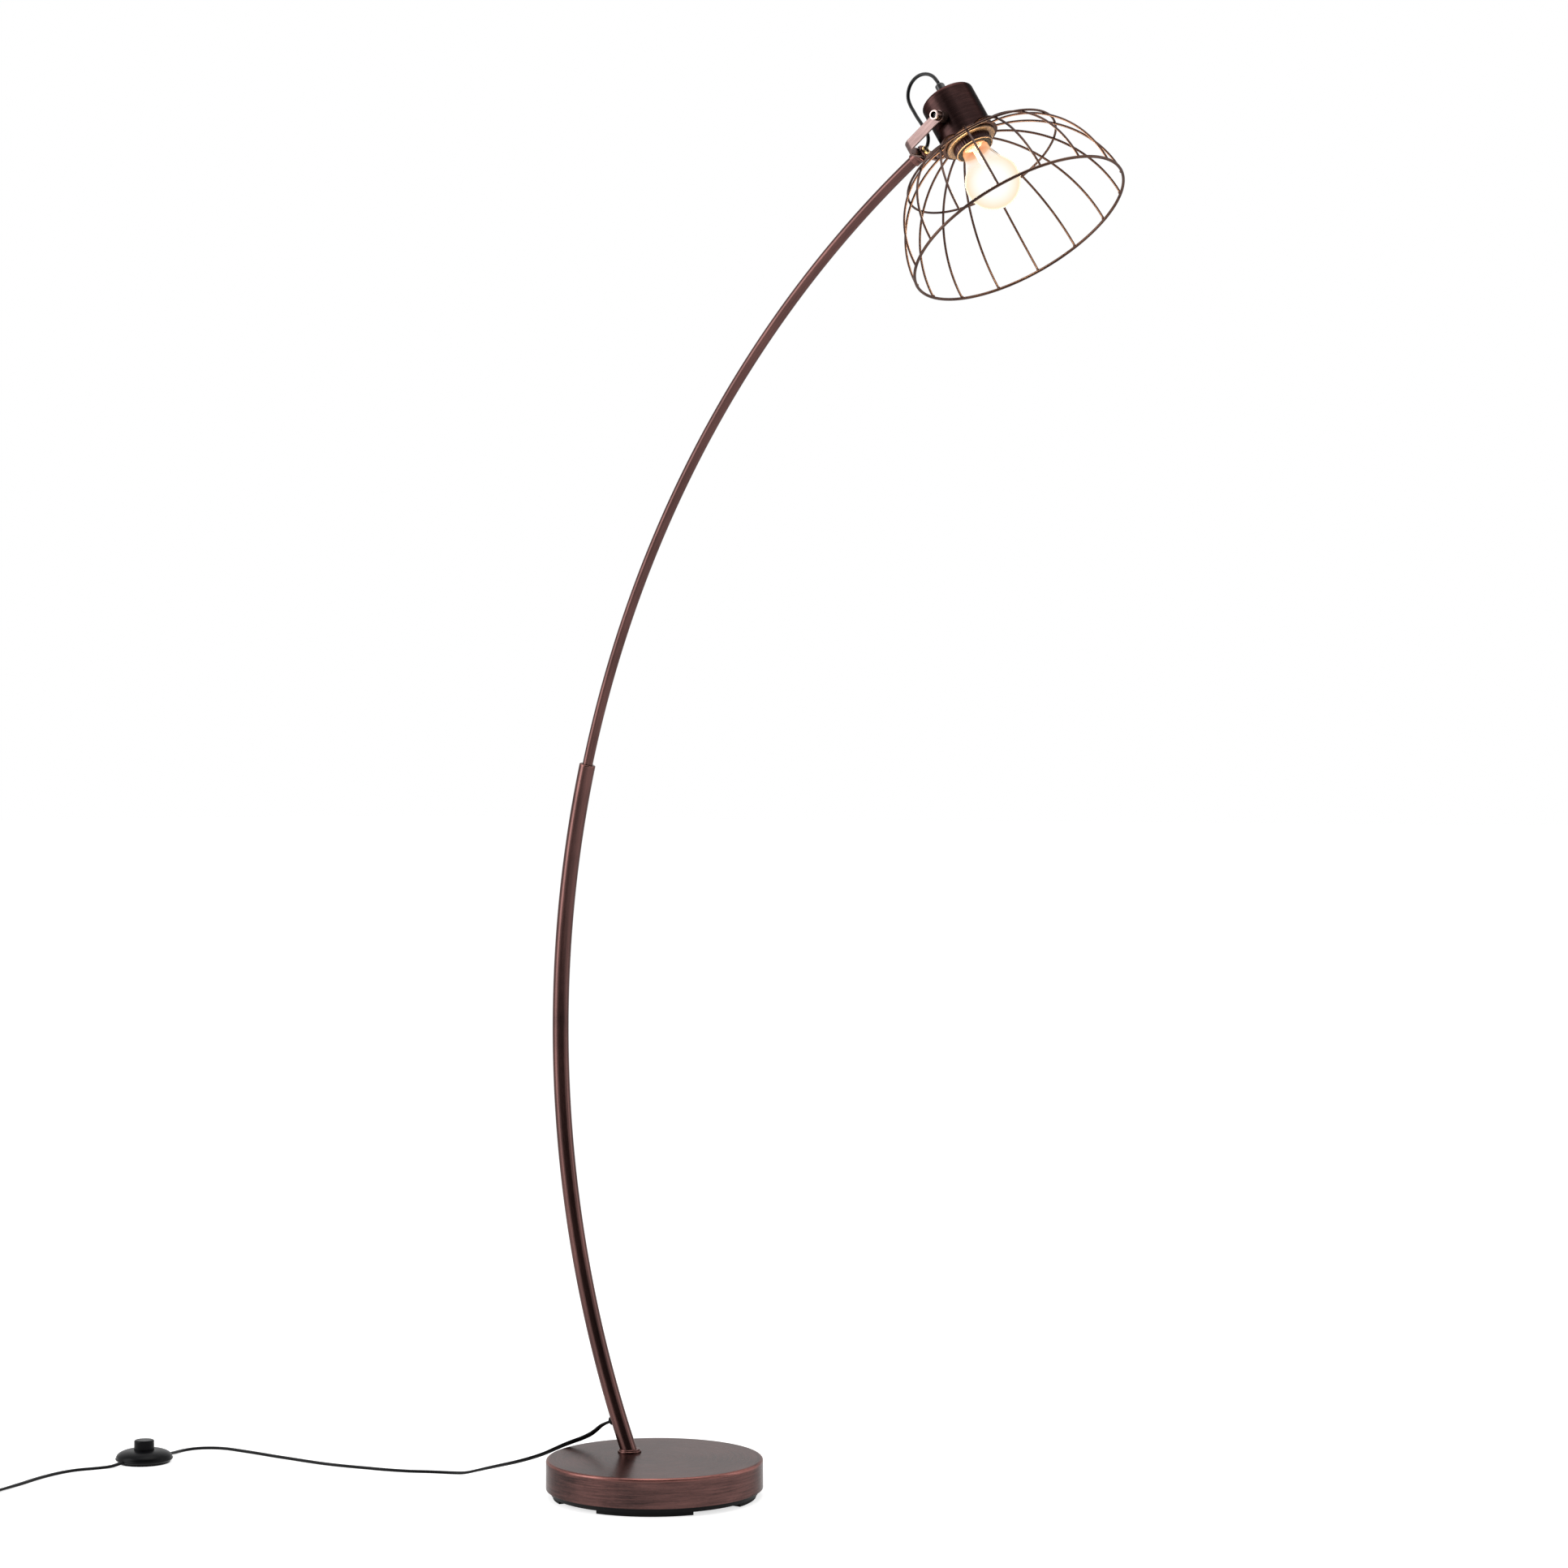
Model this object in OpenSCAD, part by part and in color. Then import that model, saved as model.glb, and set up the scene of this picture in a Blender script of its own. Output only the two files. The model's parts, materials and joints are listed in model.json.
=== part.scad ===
// Arc floor lamp with a wire cage shade, in millimetres.
// Origin: centre of the round base on the floor. +Z is up and +X is the way the arc reaches out.

/* [Base] */
// Diameter of the round base cover
base_d = 250; // [220:5:300]
// Height of the base cover's side
cover_h = 34; // [28:1:45]
// Rounding of the cover's top edge
cover_edge_r = 3; // [2:0.5:5]
// Thickness of the cover's sheet steel
sheet_t = 1.2; // [0.8:0.1:2]
// Distance of the black tray's edge inside the cover's edge
tray_in = 6; // [4:0.5:15]
// Height of the tray that shows below the cover
tray_show = 6; // [4:0.5:9]
// Thickness of the tray's floor and rim
tray_t = 2.5; // [2:0.5:4]
// Height of the tray's rim inside the cover
tray_rim_h = 9; // [6:1:14]
// Height of the foot pads
pad_h = 4; // [3:0.5:6]
// Width of a foot pad across its arc
pad_w = 18; // [10:1:30]
// Distance of a foot pad inside the tray's edge
pad_in = 2; // [0.5:0.5:5]
// Angle that one foot pad covers
pad_arc = 56; // [30:1:70]
// Number of foot pads
pad_n = 4; // [3:1:4]
// Angle of the first foot pad from the X axis
pad_turn = 34; // [0:1:89]

/* [Arc] */
// Radius of the bend that both tubes follow
arc_r = 1167; // [1000:1:1400]
// Lean of the lower tube at the foot, back from upright
foot_lean = 24.7; // [20:0.05:28]
// Distance from the base's centre to the foot of the arc
foot_offset = 46; // [40:1:60]
// Angle between the foot's radius and the plane of the arc
foot_turn = 10.5; // [0:0.1:20]
// Outside diameter of the lower tube
lower_d = 19; // [17:0.5:22]
// Wall of the lower tube
lower_wall = 1.2; // [1:0.1:1.5]
// Length of the lower tube along the arc
lower_len = 816; // [700:2:900]
// Outside diameter of the upper tube
upper_d = 12; // [11.5:0.1:13]
// Wall of the upper tube
upper_wall = 1; // [0.8:0.1:1.2]
// Length along the arc from the foot to the ferrule at the tip
arm_len = 1643; // [1500:1:1700]
// Length of the upper tube hidden in the lower one
insert_len = 80; // [60:5:120]
// Height of the cap that closes the lower tube
cap_h = 2; // [1.5:0.5:4]
// Length of the cap's spigot and of the bush below it
bush_len = 24; // [12:1:30]

/* [Foot] */
// Diameter of the foot collar
collar_d = 27.5; // [26:0.5:34]
// Height of the foot collar
collar_h = 4; // [3:0.5:6]
// Height of the collar's lower bead
collar_bead_h = 2.2; // [1.5:0.1:2.5]
// Step in from the collar's lower bead to its upper one
collar_step = 1.5; // [1:0.1:2]
// Length of the spigot that goes up into the lower tube
spigot_len = 24; // [18:1:40]
// Diameter of the foot bolt
bolt_d = 8; // [6:1:8]
// Depth that the bolt reaches into the spigot
bolt_reach = 4; // [2:0.5:5]
// Width of the bolt's head across its flats
bolt_af = 13; // [11:1:15]
// Height of the bolt's head
bolt_head_h = 5.5; // [4:0.5:7]
// Diameter of the foot washer
washer_d = 24; // [20:1:28]
// Thickness of the foot washer
washer_t = 2; // [1:0.5:3]
// Diameter of the recess for the bolt's head
recess_d = 32; // [30:1:40]

/* [Yoke] */
// Diameter of the ferrule at the arc's tip
ferrule_d = 15; // [14:0.5:18]
// Length of the ferrule
ferrule_len = 12; // [9:1:16]
// Diameter of the ferrule's flange
ferrule_flange_d = 18; // [17:0.5:20]
// Height of the ferrule's flange
ferrule_flange_h = 2.5; // [1.5:0.1:4]
// Width of the yoke's strap
strap_w = 12; // [11.5:0.5:15]
// Thickness of the yoke's strap
strap_t = 2.5; // [2:0.1:3]
// Drop of the yoke below the line of the upper tube's end
yoke_drop = 2.5; // [0:0.5:5]
// Turn of the yoke about the end of the arm
yoke_turn = 1.3; // [0:0.1:5]
// Distance from the strap's base to the pivot
yoke_reach = 57.5; // [56:0.5:75]
// Distance from the shade's axis to the middle of the strap at the pivot
yoke_half = 38; // [37:0.5:42]
// Angle that each arm splays out
yoke_splay = 7; // [2:0.5:8]
// Bend radius of the strap at its middle
bend_r = 12; // [9:0.5:14]
// Diameter of the hollow nipple
nipple_d = 9.9; // [9.5:0.1:9.9]
// Bore of the hollow nipple
nipple_bore = 7.4; // [6:0.1:7.6]
// Length of the nipple that stands past its nut
nipple_proud = 2; // [1:0.5:4]
// Length of the nipple inside the ferrule
nipple_in = 7; // [5:0.5:8]
// Height of the nipple's nut
nut_h = 3; // [2:0.5:5]
// Width of the nipple's nut across its flats
nut_af = 14; // [13:0.5:16]
// Thickness of the toothed washer
tooth_t = 0.8; // [0.5:0.1:1.5]
// Diameter of the toothed washer
tooth_d = 17; // [15:0.5:20]

/* [Pivot] */
// Diameter of the pivot studs
stud_d = 6; // [5:0.5:6.5]
// Outside diameter of the hollow sleeve nuts
sleeve_d = 10.8; // [10:0.2:12]
// Length of the sleeve nuts
sleeve_len = 9; // [7:0.5:12]
// Diameter of the hole in a sleeve nut's end
sleeve_hole_d = 7; // [6:0.2:8]
// Depth of the hole in a sleeve nut's end
sleeve_hole_depth = 4; // [2:0.5:5]
// Diameter of the spacers between the cup and the yoke
spacer_d = 12.6; // [11:0.2:14]

/* [Shade] */
// Tilt of the shade's opening out from straight down
shade_tilt = 31.5; // [10:0.2:50]
// Diameter of the lamp cup
cup_d = 60; // [56:1:64]
// Height of the lamp cup
cup_h = 56; // [52:1:70]
// Wall of the lamp cup
cup_wall = 1.2; // [0.8:0.1:1.6]
// Rounding of the lamp cup's top edge
cup_edge_r = 3.5; // [2:0.5:6]
// Height of the pivot above the cup's lower edge
cup_pivot = 25.5; // [24:0.5:34]
// Radius of the half globe on which the ribs lie
cage_r = 124; // [112:1:130]
// Number of ribs
rib_n = 16; // [12:1:20]
// Diameter of the rib wire
rib_d = 2.5; // [2:0.1:3]
// Diameter of the rim wire
rim_d = 3.2; // [3:0.1:4]
// Diameter of the middle ring's wire
ring_d = 2.5; // [2:0.1:3]
// Angle of the middle ring above the rim, seen from the globe's centre
ring_angle = 45.5; // [35:0.5:55]
// Turn of the first rib from the plane of the arc
cage_turn = 4.5; // [0:0.1:22]
// Diameter of the hub plate
hub_d = 66; // [64:1:72]
// Thickness of the hub plate
hub_t = 2; // [1.5:0.1:3]
// Depth of the weld where two wires cross
weld = 0.3; // [0.2:0.1:0.8]

/* [Lamp holder] */
// Diameter of the holder's threaded skirt
skirt_d = 40; // [38:0.5:42]
// Length of the skirt below the hub plate
skirt_drop = 11.5; // [8:0.5:14]
// Length of the skirt above the hub plate
skirt_up = 27; // [25:1:30]
// Diameter of the shade ring's flange
flange_d = 57; // [50:1:60]
// Thickness of the shade ring's flange
flange_t = 3; // [2:0.5:4]
// Wall of the shade ring's grip
grip_wall = 1.6; // [1:0.1:2.5]
// Outside diameter of the screw shell
shell_d = 28.2; // [28:0.1:29]
// Wall of the screw shell
shell_wall = 0.5; // [0.3:0.1:0.6]
// Depth of the wider mouth that the bulb's neck stands in
mouth_depth = 2.5; // [2:0.1:4]
// Height of the holder's cap
holder_cap_h = 16; // [14:1:20]
// Diameter of the cord grip
grip_d = 10.6; // [9.5:0.1:12]
// Height of the cord grip above the cup
grip_h = 18; // [14:1:24]

/* [Bulb] */
// Diameter of the bulb's globe
bulb_d = 60; // [55:1:60]
// Wall of the bulb's glass
glass_t = 0.8; // [0.6:0.1:1]
// Radius of the bulb's neck
neck_r = 15; // [14:0.1:16]
// Radius of the hollow curve between globe and neck
neck_curve_r = 38; // [30:1:45]
// Diameter of the bulb's screw cap
bulb_cap_d = 26.6; // [26:0.1:26.8]
// Length of the bulb's screw cap with its contact
bulb_cap_len = 28; // [26:0.5:29]
// Diameter of the ring that the filament follows
filament_ring_d = 22; // [16:1:26]

/* [Lead and cord] */
// Diameter of the round lead in the arm and at the head
lead_d = 4; // [3.6:0.1:4.4]
// Radius of the lead's bend out of the nipple
lead_bend_r = 17.2; // [15:0.2:18]
// Radius of the lead's loop over to the grip
lead_loop_r = 21; // [18:0.5:22]
// Width of the flat mains cord
cord_w = 5.4; // [5:0.1:5.8]
// Thickness of the flat mains cord
cord_t = 3.2; // [2.8:0.1:3.4]
// Height of the cord's grommet above the base, along the tube
grommet_up = 41; // [38:1:44]
// Diameter of the grommet's flange
grommet_d = 10; // [9.5:0.1:11]
// Stand of the grommet out of the tube
grommet_proud = 2.5; // [2:0.1:3]
// Middle radius of the coil's outer turn
coil_r = 31.5; // [28:0.5:34]
// Step of the coil from turn to turn
coil_pitch = 4.4; // [4.2:0.1:5]
// Step of the coil from layer to layer
coil_rise = 6.1; // [6:0.1:7]
// Thickness of the tie round the coil
tie_t = 0.7; // [0.5:0.1:1]
// Width of the tie round the coil
tie_w = 6; // [4:0.5:10]

/* [Foot switch] */
// Diameter of the switch's dome
switch_d = 69; // [64:1:74]
// Height of the dome's widest line
switch_brim_h = 5; // [4:0.5:6]
// Height of the dome's top
dome_h = 15.5; // [14:0.5:18]
// Wall of the dome
dome_t = 2; // [1.5:0.1:2.5]
// Diameter of the push button
button_d = 24; // [20:0.5:26]
// Height of the button's top above the floor
button_h = 27; // [24:0.5:30]
// Travel of the button
button_travel = 3; // [2:0.5:4]
// Thickness of the switch's floor plate
switch_floor_t = 2.5; // [2:0.1:3]

/* [Plug] */
// Width of the plug's body
plug_w = 35; // [33:0.5:37]
// Thickness of the plug's body
plug_t = 14; // [13:0.5:15]
// Length of the plug's body
plug_len = 34; // [30:1:40]
// Length of the tapered strain relief
relief_len = 22; // [20:1:30]
// Diameter of the plug's pins
pin_d = 4; // [3.8:0.1:4.2]
// Length of the plug's pins
pin_len = 19; // [17:0.5:20]
// Distance between the pins
pin_gap = 19; // [18:0.5:20]
// Length of the insulating sleeve on each pin
pin_sleeve_len = 10; // [8:0.5:12]
// Diameter of a pin's core inside its sleeve
pin_core_d = 2.8; // [2.4:0.1:3]

/* [Hidden] */
$fn = 64;

// Clearances: seat between fixed pieces, running fit of a pin, and gap between moving bodies
seat = 0.05;
run_fit = 0.05;
clear = 0.3;
// Length by which a cutter reaches past the face that it cuts
past = 1;

bronze = [0.33, 0.2, 0.18];
bronze_light = [0.5, 0.36, 0.33];
black = [0.06, 0.06, 0.06];
rubber = [0.09, 0.09, 0.09];
steel = [0.7, 0.7, 0.7];
brass = [0.8, 0.62, 0.3];
cement = [0.6, 0.6, 0.58];
glass = [1, 0.9, 0.75, 0.35];

// Sizes and heights of the base
tray_d = base_d - 2 * tray_in;
tray_z = pad_h;
cover_z = tray_z + tray_show;
base_top = cover_z + cover_h;
weight_z = tray_z + tray_t + seat;
weight_top = base_top - sheet_t - seat;
weight_d = tray_d - 2 * (tray_t + clear);

// Arc: its foot is on the base's top, and its centre lies in the plane of the arc
foot_x = -foot_offset * cos(foot_turn);
arc_y = foot_offset * sin(foot_turn);
foot_angle = 180 + foot_lean;
arc_x = foot_x + arc_r * cos(foot_lean);
arc_z = base_top + arc_r * sin(foot_lean);
lower_id = lower_d - 2 * lower_wall;
upper_id = upper_d - 2 * upper_wall;
collar_top = base_top + collar_h;
function arc_angle(along) = foot_angle - along / arc_r * 180 / PI;
function arc_point(along, out = 0) = [arc_x + (arc_r + out) * cos(arc_angle(along)), arc_y,
    arc_z + (arc_r + out) * sin(arc_angle(along))];

// Tip of the arc and pivot of the shade
tip_rise = arc_angle(arm_len) - 90 - yoke_drop;
tip = arc_point(arm_len);
tip_way = [cos(tip_rise), 0, sin(tip_rise)];
strap_z = ferrule_len + seat;
washer_z = strap_z + strap_t + seat;
nut_z = washer_z + tooth_t + seat;
nipple_end = nut_z + nut_h + nipple_proud;
pivot_up = strap_z + strap_t / 2 + yoke_reach;
pivot = tip + pivot_up * tip_way;
// Way of the shade's axis, up through the cup, and way of the pins that it tilts on
shade_lean = 90 - tip_rise + shade_tilt;
shade_way = let (x = -sin(shade_lean) * cos(yoke_turn), y = -sin(shade_lean) * sin(yoke_turn),
    z = cos(shade_lean))
    [x * sin(tip_rise) + z * cos(tip_rise), y, z * sin(tip_rise) - x * cos(tip_rise)];
pin_way = [sin(yoke_turn) * sin(tip_rise), -cos(yoke_turn), -sin(yoke_turn) * cos(tip_rise)];

// Yoke strap: half base, bend, splayed arm and a parallel ear, seen along the strap's width
ear_len = 9;
splay_way = [sin(yoke_splay), cos(yoke_splay)];
ear_start = [yoke_half, yoke_reach - ear_len];
arm_len_flat = (ear_start[1] - bend_r * (1 - sin(yoke_splay))) / cos(yoke_splay);
bend_end = ear_start - arm_len_flat * splay_way;
base_run = bend_end[0] - bend_r * cos(yoke_splay);
ear_slip = strap_t / 2 * tan(yoke_splay / 2);
strap_hole_d = stud_d + 2 * run_fit;
spacer_face = yoke_half - strap_t / 2 - run_fit;
sleeve_face = yoke_half + strap_t / 2 + run_fit;
stud_head_t = 1.5;
stud_head_d = 10;
cup_r = cup_d / 2;
cup_in_r = cup_r - cup_wall;
stud_seat = sqrt(cup_in_r * cup_in_r - stud_head_d * stud_head_d / 4) - seat;
stud_end = sleeve_face + sleeve_len - sleeve_hole_depth;

// Heights along the shade's axis, from the pivot
cup_z = -cup_pivot;
cup_top = cup_z + cup_h;
hub_z = cup_z - hub_t;
hub_mid = hub_z + hub_t / 2;
rim_z = hub_mid - sqrt(cage_r * cage_r - hub_d * hub_d / 4);
hub_angle = acos((hub_d / 2 - 1) / cage_r);
ring_r = cage_r + (rib_d + ring_d) / 2 - weld;
skirt_z = hub_z - skirt_drop;
skirt_r = skirt_d / 2;
hub_hole_r = skirt_r + 0.2;
skirt_top = cup_z + skirt_up;
skirt_flange_r = cup_in_r - 1;
skirt_flange_t = 2;
holder_top = skirt_top + holder_cap_h;
entry_d = 10;
holder_wall = 2;
shell_len = 34;
shell_z = skirt_top - 1 - shell_len;
core_t = 6;
shade_ring_top = hub_z - seat;
cap_r = bulb_cap_d / 2;
bulb_cap_top = skirt_top - core_t - 3.5;
bulb_cap_z = bulb_cap_top - bulb_cap_len;
neck_taper = 4;
globe_r = bulb_d / 2;
neck_rise = sqrt(pow(globe_r + neck_curve_r, 2) - pow(neck_r + neck_curve_r, 2));
globe_z = bulb_cap_z - neck_taper - neck_rise;
neck_in = 3;
stem_top = bulb_cap_z + neck_in;
stem_len = 26;
stem_r = cap_r - 1 - glass_t - seat;
filament_z = globe_z + 2;
filament_d = 0.8;
grip_top = cup_top + grip_h;

// Head lead: it leans in the nipple's bore, bends up behind the cup and loops over into the grip.
// Points run from the tip, along the arm's end and square to it, for the photographed tilt.
tip_up = [-sin(tip_rise), 0, cos(tip_rise)];
grip_out = pivot + grip_top * shade_way;
lead_in = 8;
lead_start = tip + (nipple_end - lead_in + 0.2) * tip_way;
grip_at = [(grip_out - tip) * tip_way, (grip_out - tip) * tip_up];
grip_in = 16;
grip_lead = 5;
lead_bend_from = 13.5;
lead_bend = [for (a = [9:13.5:90])
    [lead_bend_from + lead_bend_r * sin(a), lead_bend_r * (1 - cos(a))]];
loop_from = [grip_at[0] - 2 * lead_loop_r, grip_at[1] + grip_lead];
bend_to = [lead_bend_from + lead_bend_r, lead_bend_r];
lead_rise = [for (k = [0.15, 0.35, 0.57, 0.79])
    [bend_to[0] + (loop_from[0] - bend_to[0]) * min(1, 1.6 * k),
        bend_to[1] + (loop_from[1] - bend_to[1]) * k]];
lead_loop = [for (a = [180:-22.5:22.5])
    loop_from + lead_loop_r * [1 + cos(a), sin(a)]];
lead_route = concat(lead_bend, lead_rise, lead_loop);
lead_side = (grip_out[1] - arc_y) / ((grip_out - tip) * tip_up);

// Grommet and cord route, all in the plane of the arc as far as the tube's skin
cord_z = cord_t / 2 + 0.05;
grommet_len = grommet_up;
grommet_r = lower_d / 2 + grommet_proud;
grommet_hole_d = 8.6;
inlet_bend_r = 6;
splice_z = 9;
splice_len = 26;
splice_d = 9.5;
switch_at = [-616, -226];
switch_port = 14;
port_z = switch_floor_t + cord_t / 2 + 0.4;
coil_at = [-565, -550];
coil_z = cord_w / 2 + tie_t + 0.15;
turns_in = 1.75;
turn_back = turns_in + 0.25;
coil_turns = 2 * turns_in + 0.5;
coil_steps = 24;
plug_z = plug_t / 2 + 0.05;
plug_at = [coil_at[0] - coil_r, coil_at[1] - 38];
exit_point = arc_point(grommet_len, grommet_r);
exit_way = [cos(arc_angle(grommet_len)), 0, sin(arc_angle(grommet_len))];
route_1 = [[-88.1, 8.4, 69.9], [-93, 8.2, 66.3], [-97.6, 7.4, 62.5], [-103.8, 5.4, 58],
    [-113, 1.5, 53.1], [-121.5, -4, 49.3], [-129.5, -10.5, 45.4], [-137, -18, 41],
    [-146.5, -27.5, 35.5], [-159, -38, 30.2], [-175, -47, 25], [-196, -51.5, 19.2],
    [-217.5, -50.5, 13.2], [-236.5, -48, 7.8], [-253.5, -47.8, 3.4], [-272, -51, cord_z],
    [-295, -62, cord_z], [-320, -76, cord_z], [-347, -86, cord_z], [-374, -93, cord_z],
    [-402, -100, cord_z], [-430, -105, cord_z], [-458, -107, cord_z], [-486, -108, cord_z],
    [-514, -109, cord_z], [-542, -109, cord_z], [-570, -110, cord_z], [-595, -112, cord_z],
    [-613, -120, cord_z], [-625, -134, cord_z], [-628, -152, cord_z], [-622, -172, cord_z + 1]];
route_2 = [[-616, -262, port_z - 0.4], [-618, -277, cord_z + 0.6], [-626, -294, cord_z],
    [-635, -313, cord_z], [-638, -334, cord_z], [-636, -358, cord_z], [-631, -382, cord_z],
    [-624, -406, cord_z], [-617, -431, cord_z + 0.3], [-610, -456, cord_z + 0.7],
    [-603, -480, cord_z + 1.1], [-598.5, -504, cord_z + 1.4]];

// Points along a route, by a smooth curve through its own points
function curve(a, b, c, d, t) = 0.5 * (2 * b + (c - a) * t + (2 * a - 5 * b + 4 * c - d) * t * t
    + (3 * b - 3 * c + d - a) * t * t * t);
function smooth(p, steps) = let (n = len(p) - 1) [
    for (i = [0:n - 1], k = [0:steps - 1])
        curve(p[max(i - 1, 0)], p[i], p[i + 1], p[min(i + 2, n)], k / steps),
    p[n]];
function unit(v) = v / norm(v);
function way(p, i) = unit(p[min(i + 1, len(p) - 1)] - p[max(i - 1, 0)]);
// Way along a smooth curve, which at both ends is the way between the route's own points
function run_way(p, i, route) = let (n = len(p) - 1, m = len(route) - 1)
    i == 0 ? unit(route[1] - route[0]) : i == n ? unit(route[m] - route[m - 1]) : way(p, i);
function sum(v) = [for (x = v) 1] * v;
function length_of(p) = sum([for (i = [1:len(p) - 1]) norm(p[i] - p[i - 1])]);

// Flat cord section, wide across, and the same on edge by a turn of 90 degrees
flat_8 = let (a = cord_w / 2, b = cord_t / 2, c = a - b * 0.6, e = b * 0.4)
    [[a, e], [c, b], [-c, b], [-a, e], [-a, -e], [-c, -b], [c, -b], [a, -e]];
flat_6 = let (a = cord_w / 2, b = cord_t / 2)
    [[a, 0], [a / 2, b], [-a / 2, b], [-a, 0], [-a / 2, -b], [a / 2, -b]];
function ring_points(centre, along, section, twist, flat_ways) =
    let (side = unit(flat_ways ? cross([0, 0, 1], along) : cross(along, [0, 1, 0])),
        up = cross(along, side))
    [for (q = section) centre
        + (q[0] * cos(twist) - q[1] * sin(twist)) * side
        + (q[0] * sin(twist) + q[1] * cos(twist)) * up];

// A tube swept through rings of points, closed at both ends
module skin(rings) {
    n = len(rings);
    m = len(rings[0]);
    body = [for (i = [0:n - 2], k = [0:m - 1], h = [0, 1])
        let (a = i * m + k, b = i * m + (k + 1) % m)
        h == 0 ? [a, a + m, b + m] : [a, b + m, b]];
    ends = [for (k = [1:m - 2], h = [0, 1])
        h == 0 ? [0, k, k + 1] : [(n - 1) * m, (n - 1) * m + k + 1, (n - 1) * m + k]];
    polyhedron(points = [for (r = rings, q = r) q], faces = concat(body, ends), convexity = 10);
}

// Places: along the arc, at its tip, and along the shade's axis from the pivot
module on_arc(from, to) {
    translate([arc_x, arc_y, arc_z])
        rotate([90, 0, 0])
            rotate([0, 0, arc_angle(to)])
                rotate_extrude(angle = arc_angle(from) - arc_angle(to), $fn = 360)
                    translate([arc_r, 0])
                        children();
}

module arc_rod(from, to, d) {
    on_arc(from, to) circle(d = d);
}

module arc_pipe(from, to, d_out, d_in) {
    on_arc(from, to) difference() {
        circle(d = d_out);
        circle(d = d_in);
    }
}

module at_foot() {
    translate([foot_x, arc_y, 0]) children();
}

module at_grommet() {
    translate(arc_point(grommet_len)) rotate([0, 90 - arc_angle(grommet_len), 0]) children();
}

module at_tip() {
    translate(tip) rotate([0, 90 - tip_rise, 0]) rotate([0, 0, yoke_turn]) children();
}

module at_pivot() {
    at_tip() translate([0, 0, pivot_up]) rotate([0, -shade_lean, 0]) children();
}

module both_sides() {
    for (side = [0, 180]) rotate([0, 0, side]) children();
}

module tube(d_out, d_in, h) {
    difference() {
        cylinder(d = d_out, h = h);
        translate([0, 0, -past]) cylinder(d = d_in, h = h + 2 * past);
    }
}

// Disc with a rounded top edge
module rounded_disc(d, h, r) {
    rotate_extrude() {
        square([d / 2 - r, h]);
        square([d / 2, h - r]);
        translate([d / 2 - r, h - r]) intersection() {
            circle(r = r);
            square(r);
        }
    }
}

module base_cover() color(bronze) difference() {
    translate([0, 0, cover_z]) difference() {
        rounded_disc(base_d, cover_h, cover_edge_r);
        translate([0, 0, -past])
            rounded_disc(base_d - 2 * sheet_t, cover_h - sheet_t + past, cover_edge_r - sheet_t);
    }
    at_foot() translate([0, 0, base_top - cover_h / 2])
        cylinder(d = bolt_d + 2 * clear, h = cover_h);
}

module counterweight() color(cement) difference() {
    translate([0, 0, weight_z]) cylinder(d = weight_d, h = weight_top - weight_z);
    at_foot() {
        translate([0, 0, weight_z - past]) cylinder(d = bolt_d + 2 * clear, h = base_top);
        translate([0, 0, weight_z - past])
            cylinder(d = recess_d, h = bolt_head_h + washer_t + 2 + past);
    }
}

module base_tray() color(black) difference() {
    translate([0, 0, tray_z]) cylinder(d = tray_d, h = tray_rim_h);
    translate([0, 0, tray_z + tray_t]) cylinder(d = tray_d - 2 * tray_t, h = tray_rim_h);
    at_foot() cylinder(d = recess_d, h = base_top);
}

module foot_pads() color(rubber) for (i = [0:pad_n - 1])
    rotate([0, 0, pad_turn + i * 360 / pad_n - pad_arc / 2])
        rotate_extrude(angle = pad_arc)
            translate([tray_d / 2 - pad_in - pad_w, 0])
                square([pad_w, pad_h]);

bolt_seat_z = weight_z + bolt_head_h + 2;
bolt_top = collar_top + bolt_reach;

module foot_washer() color(steel) at_foot()
    translate([0, 0, bolt_seat_z]) tube(washer_d, bolt_d + 2 * clear, washer_t - seat);

module foot_bolt() color(steel) at_foot() {
    translate([0, 0, bolt_seat_z - bolt_head_h])
        cylinder(d = bolt_af / cos(30), h = bolt_head_h - seat, $fn = 6);
    translate([0, 0, bolt_seat_z - seat * 2]) cylinder(d = bolt_d, h = bolt_top - bolt_seat_z);
}

// Turned collar with two beads and a curved spigot that the lower tube slips over
module foot_collar() color(bronze) difference() {
    union() {
        at_foot() translate([0, 0, base_top]) {
            rounded_disc(collar_d, collar_bead_h, collar_bead_h / 2);
            translate([0, 0, collar_bead_h])
                rounded_disc(collar_d - 2 * collar_step, collar_h - collar_bead_h, 0.8);
        }
        difference() {
            arc_rod(-collar_h, spigot_len, lower_id - 2 * seat);
            at_foot() translate([0, 0, base_top - arc_r]) cube([arc_r, arc_r, 2 * arc_r], center = true);
        }
    }
    at_foot() cylinder(d = bolt_d + 2 * seat, h = bolt_top + seat);
}

module lower_tube() color(bronze) difference() {
    arc_pipe(-collar_h, lower_len, lower_d, lower_id);
    at_foot() translate([0, 0, collar_top + seat - arc_r / 2]) cube(arc_r, center = true);
    at_grommet() cylinder(d = grommet_hole_d + 2 * seat, h = lower_d);
}

// Cap that closes the lower tube round the upper one, with its spigot
module tube_cap() color(bronze) difference() {
    union() {
        translate(arc_point(lower_len + seat)) rotate([0, 180 - arc_angle(lower_len), 0])
            rounded_disc(lower_d, cap_h, cap_h * 0.6);
        arc_rod(lower_len - bush_len, lower_len + seat * 2, lower_id - 2 * seat);
    }
    arc_rod(lower_len - bush_len - past, lower_len + cap_h + past, upper_d + 2 * seat);
}

bush_from = lower_len - insert_len;

module tube_bush() color(steel)
    arc_pipe(bush_from, bush_from + bush_len / 2, lower_id - 2 * seat, upper_d + 4 * seat);

upper_end = arm_len + ferrule_len / 3;

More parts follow.
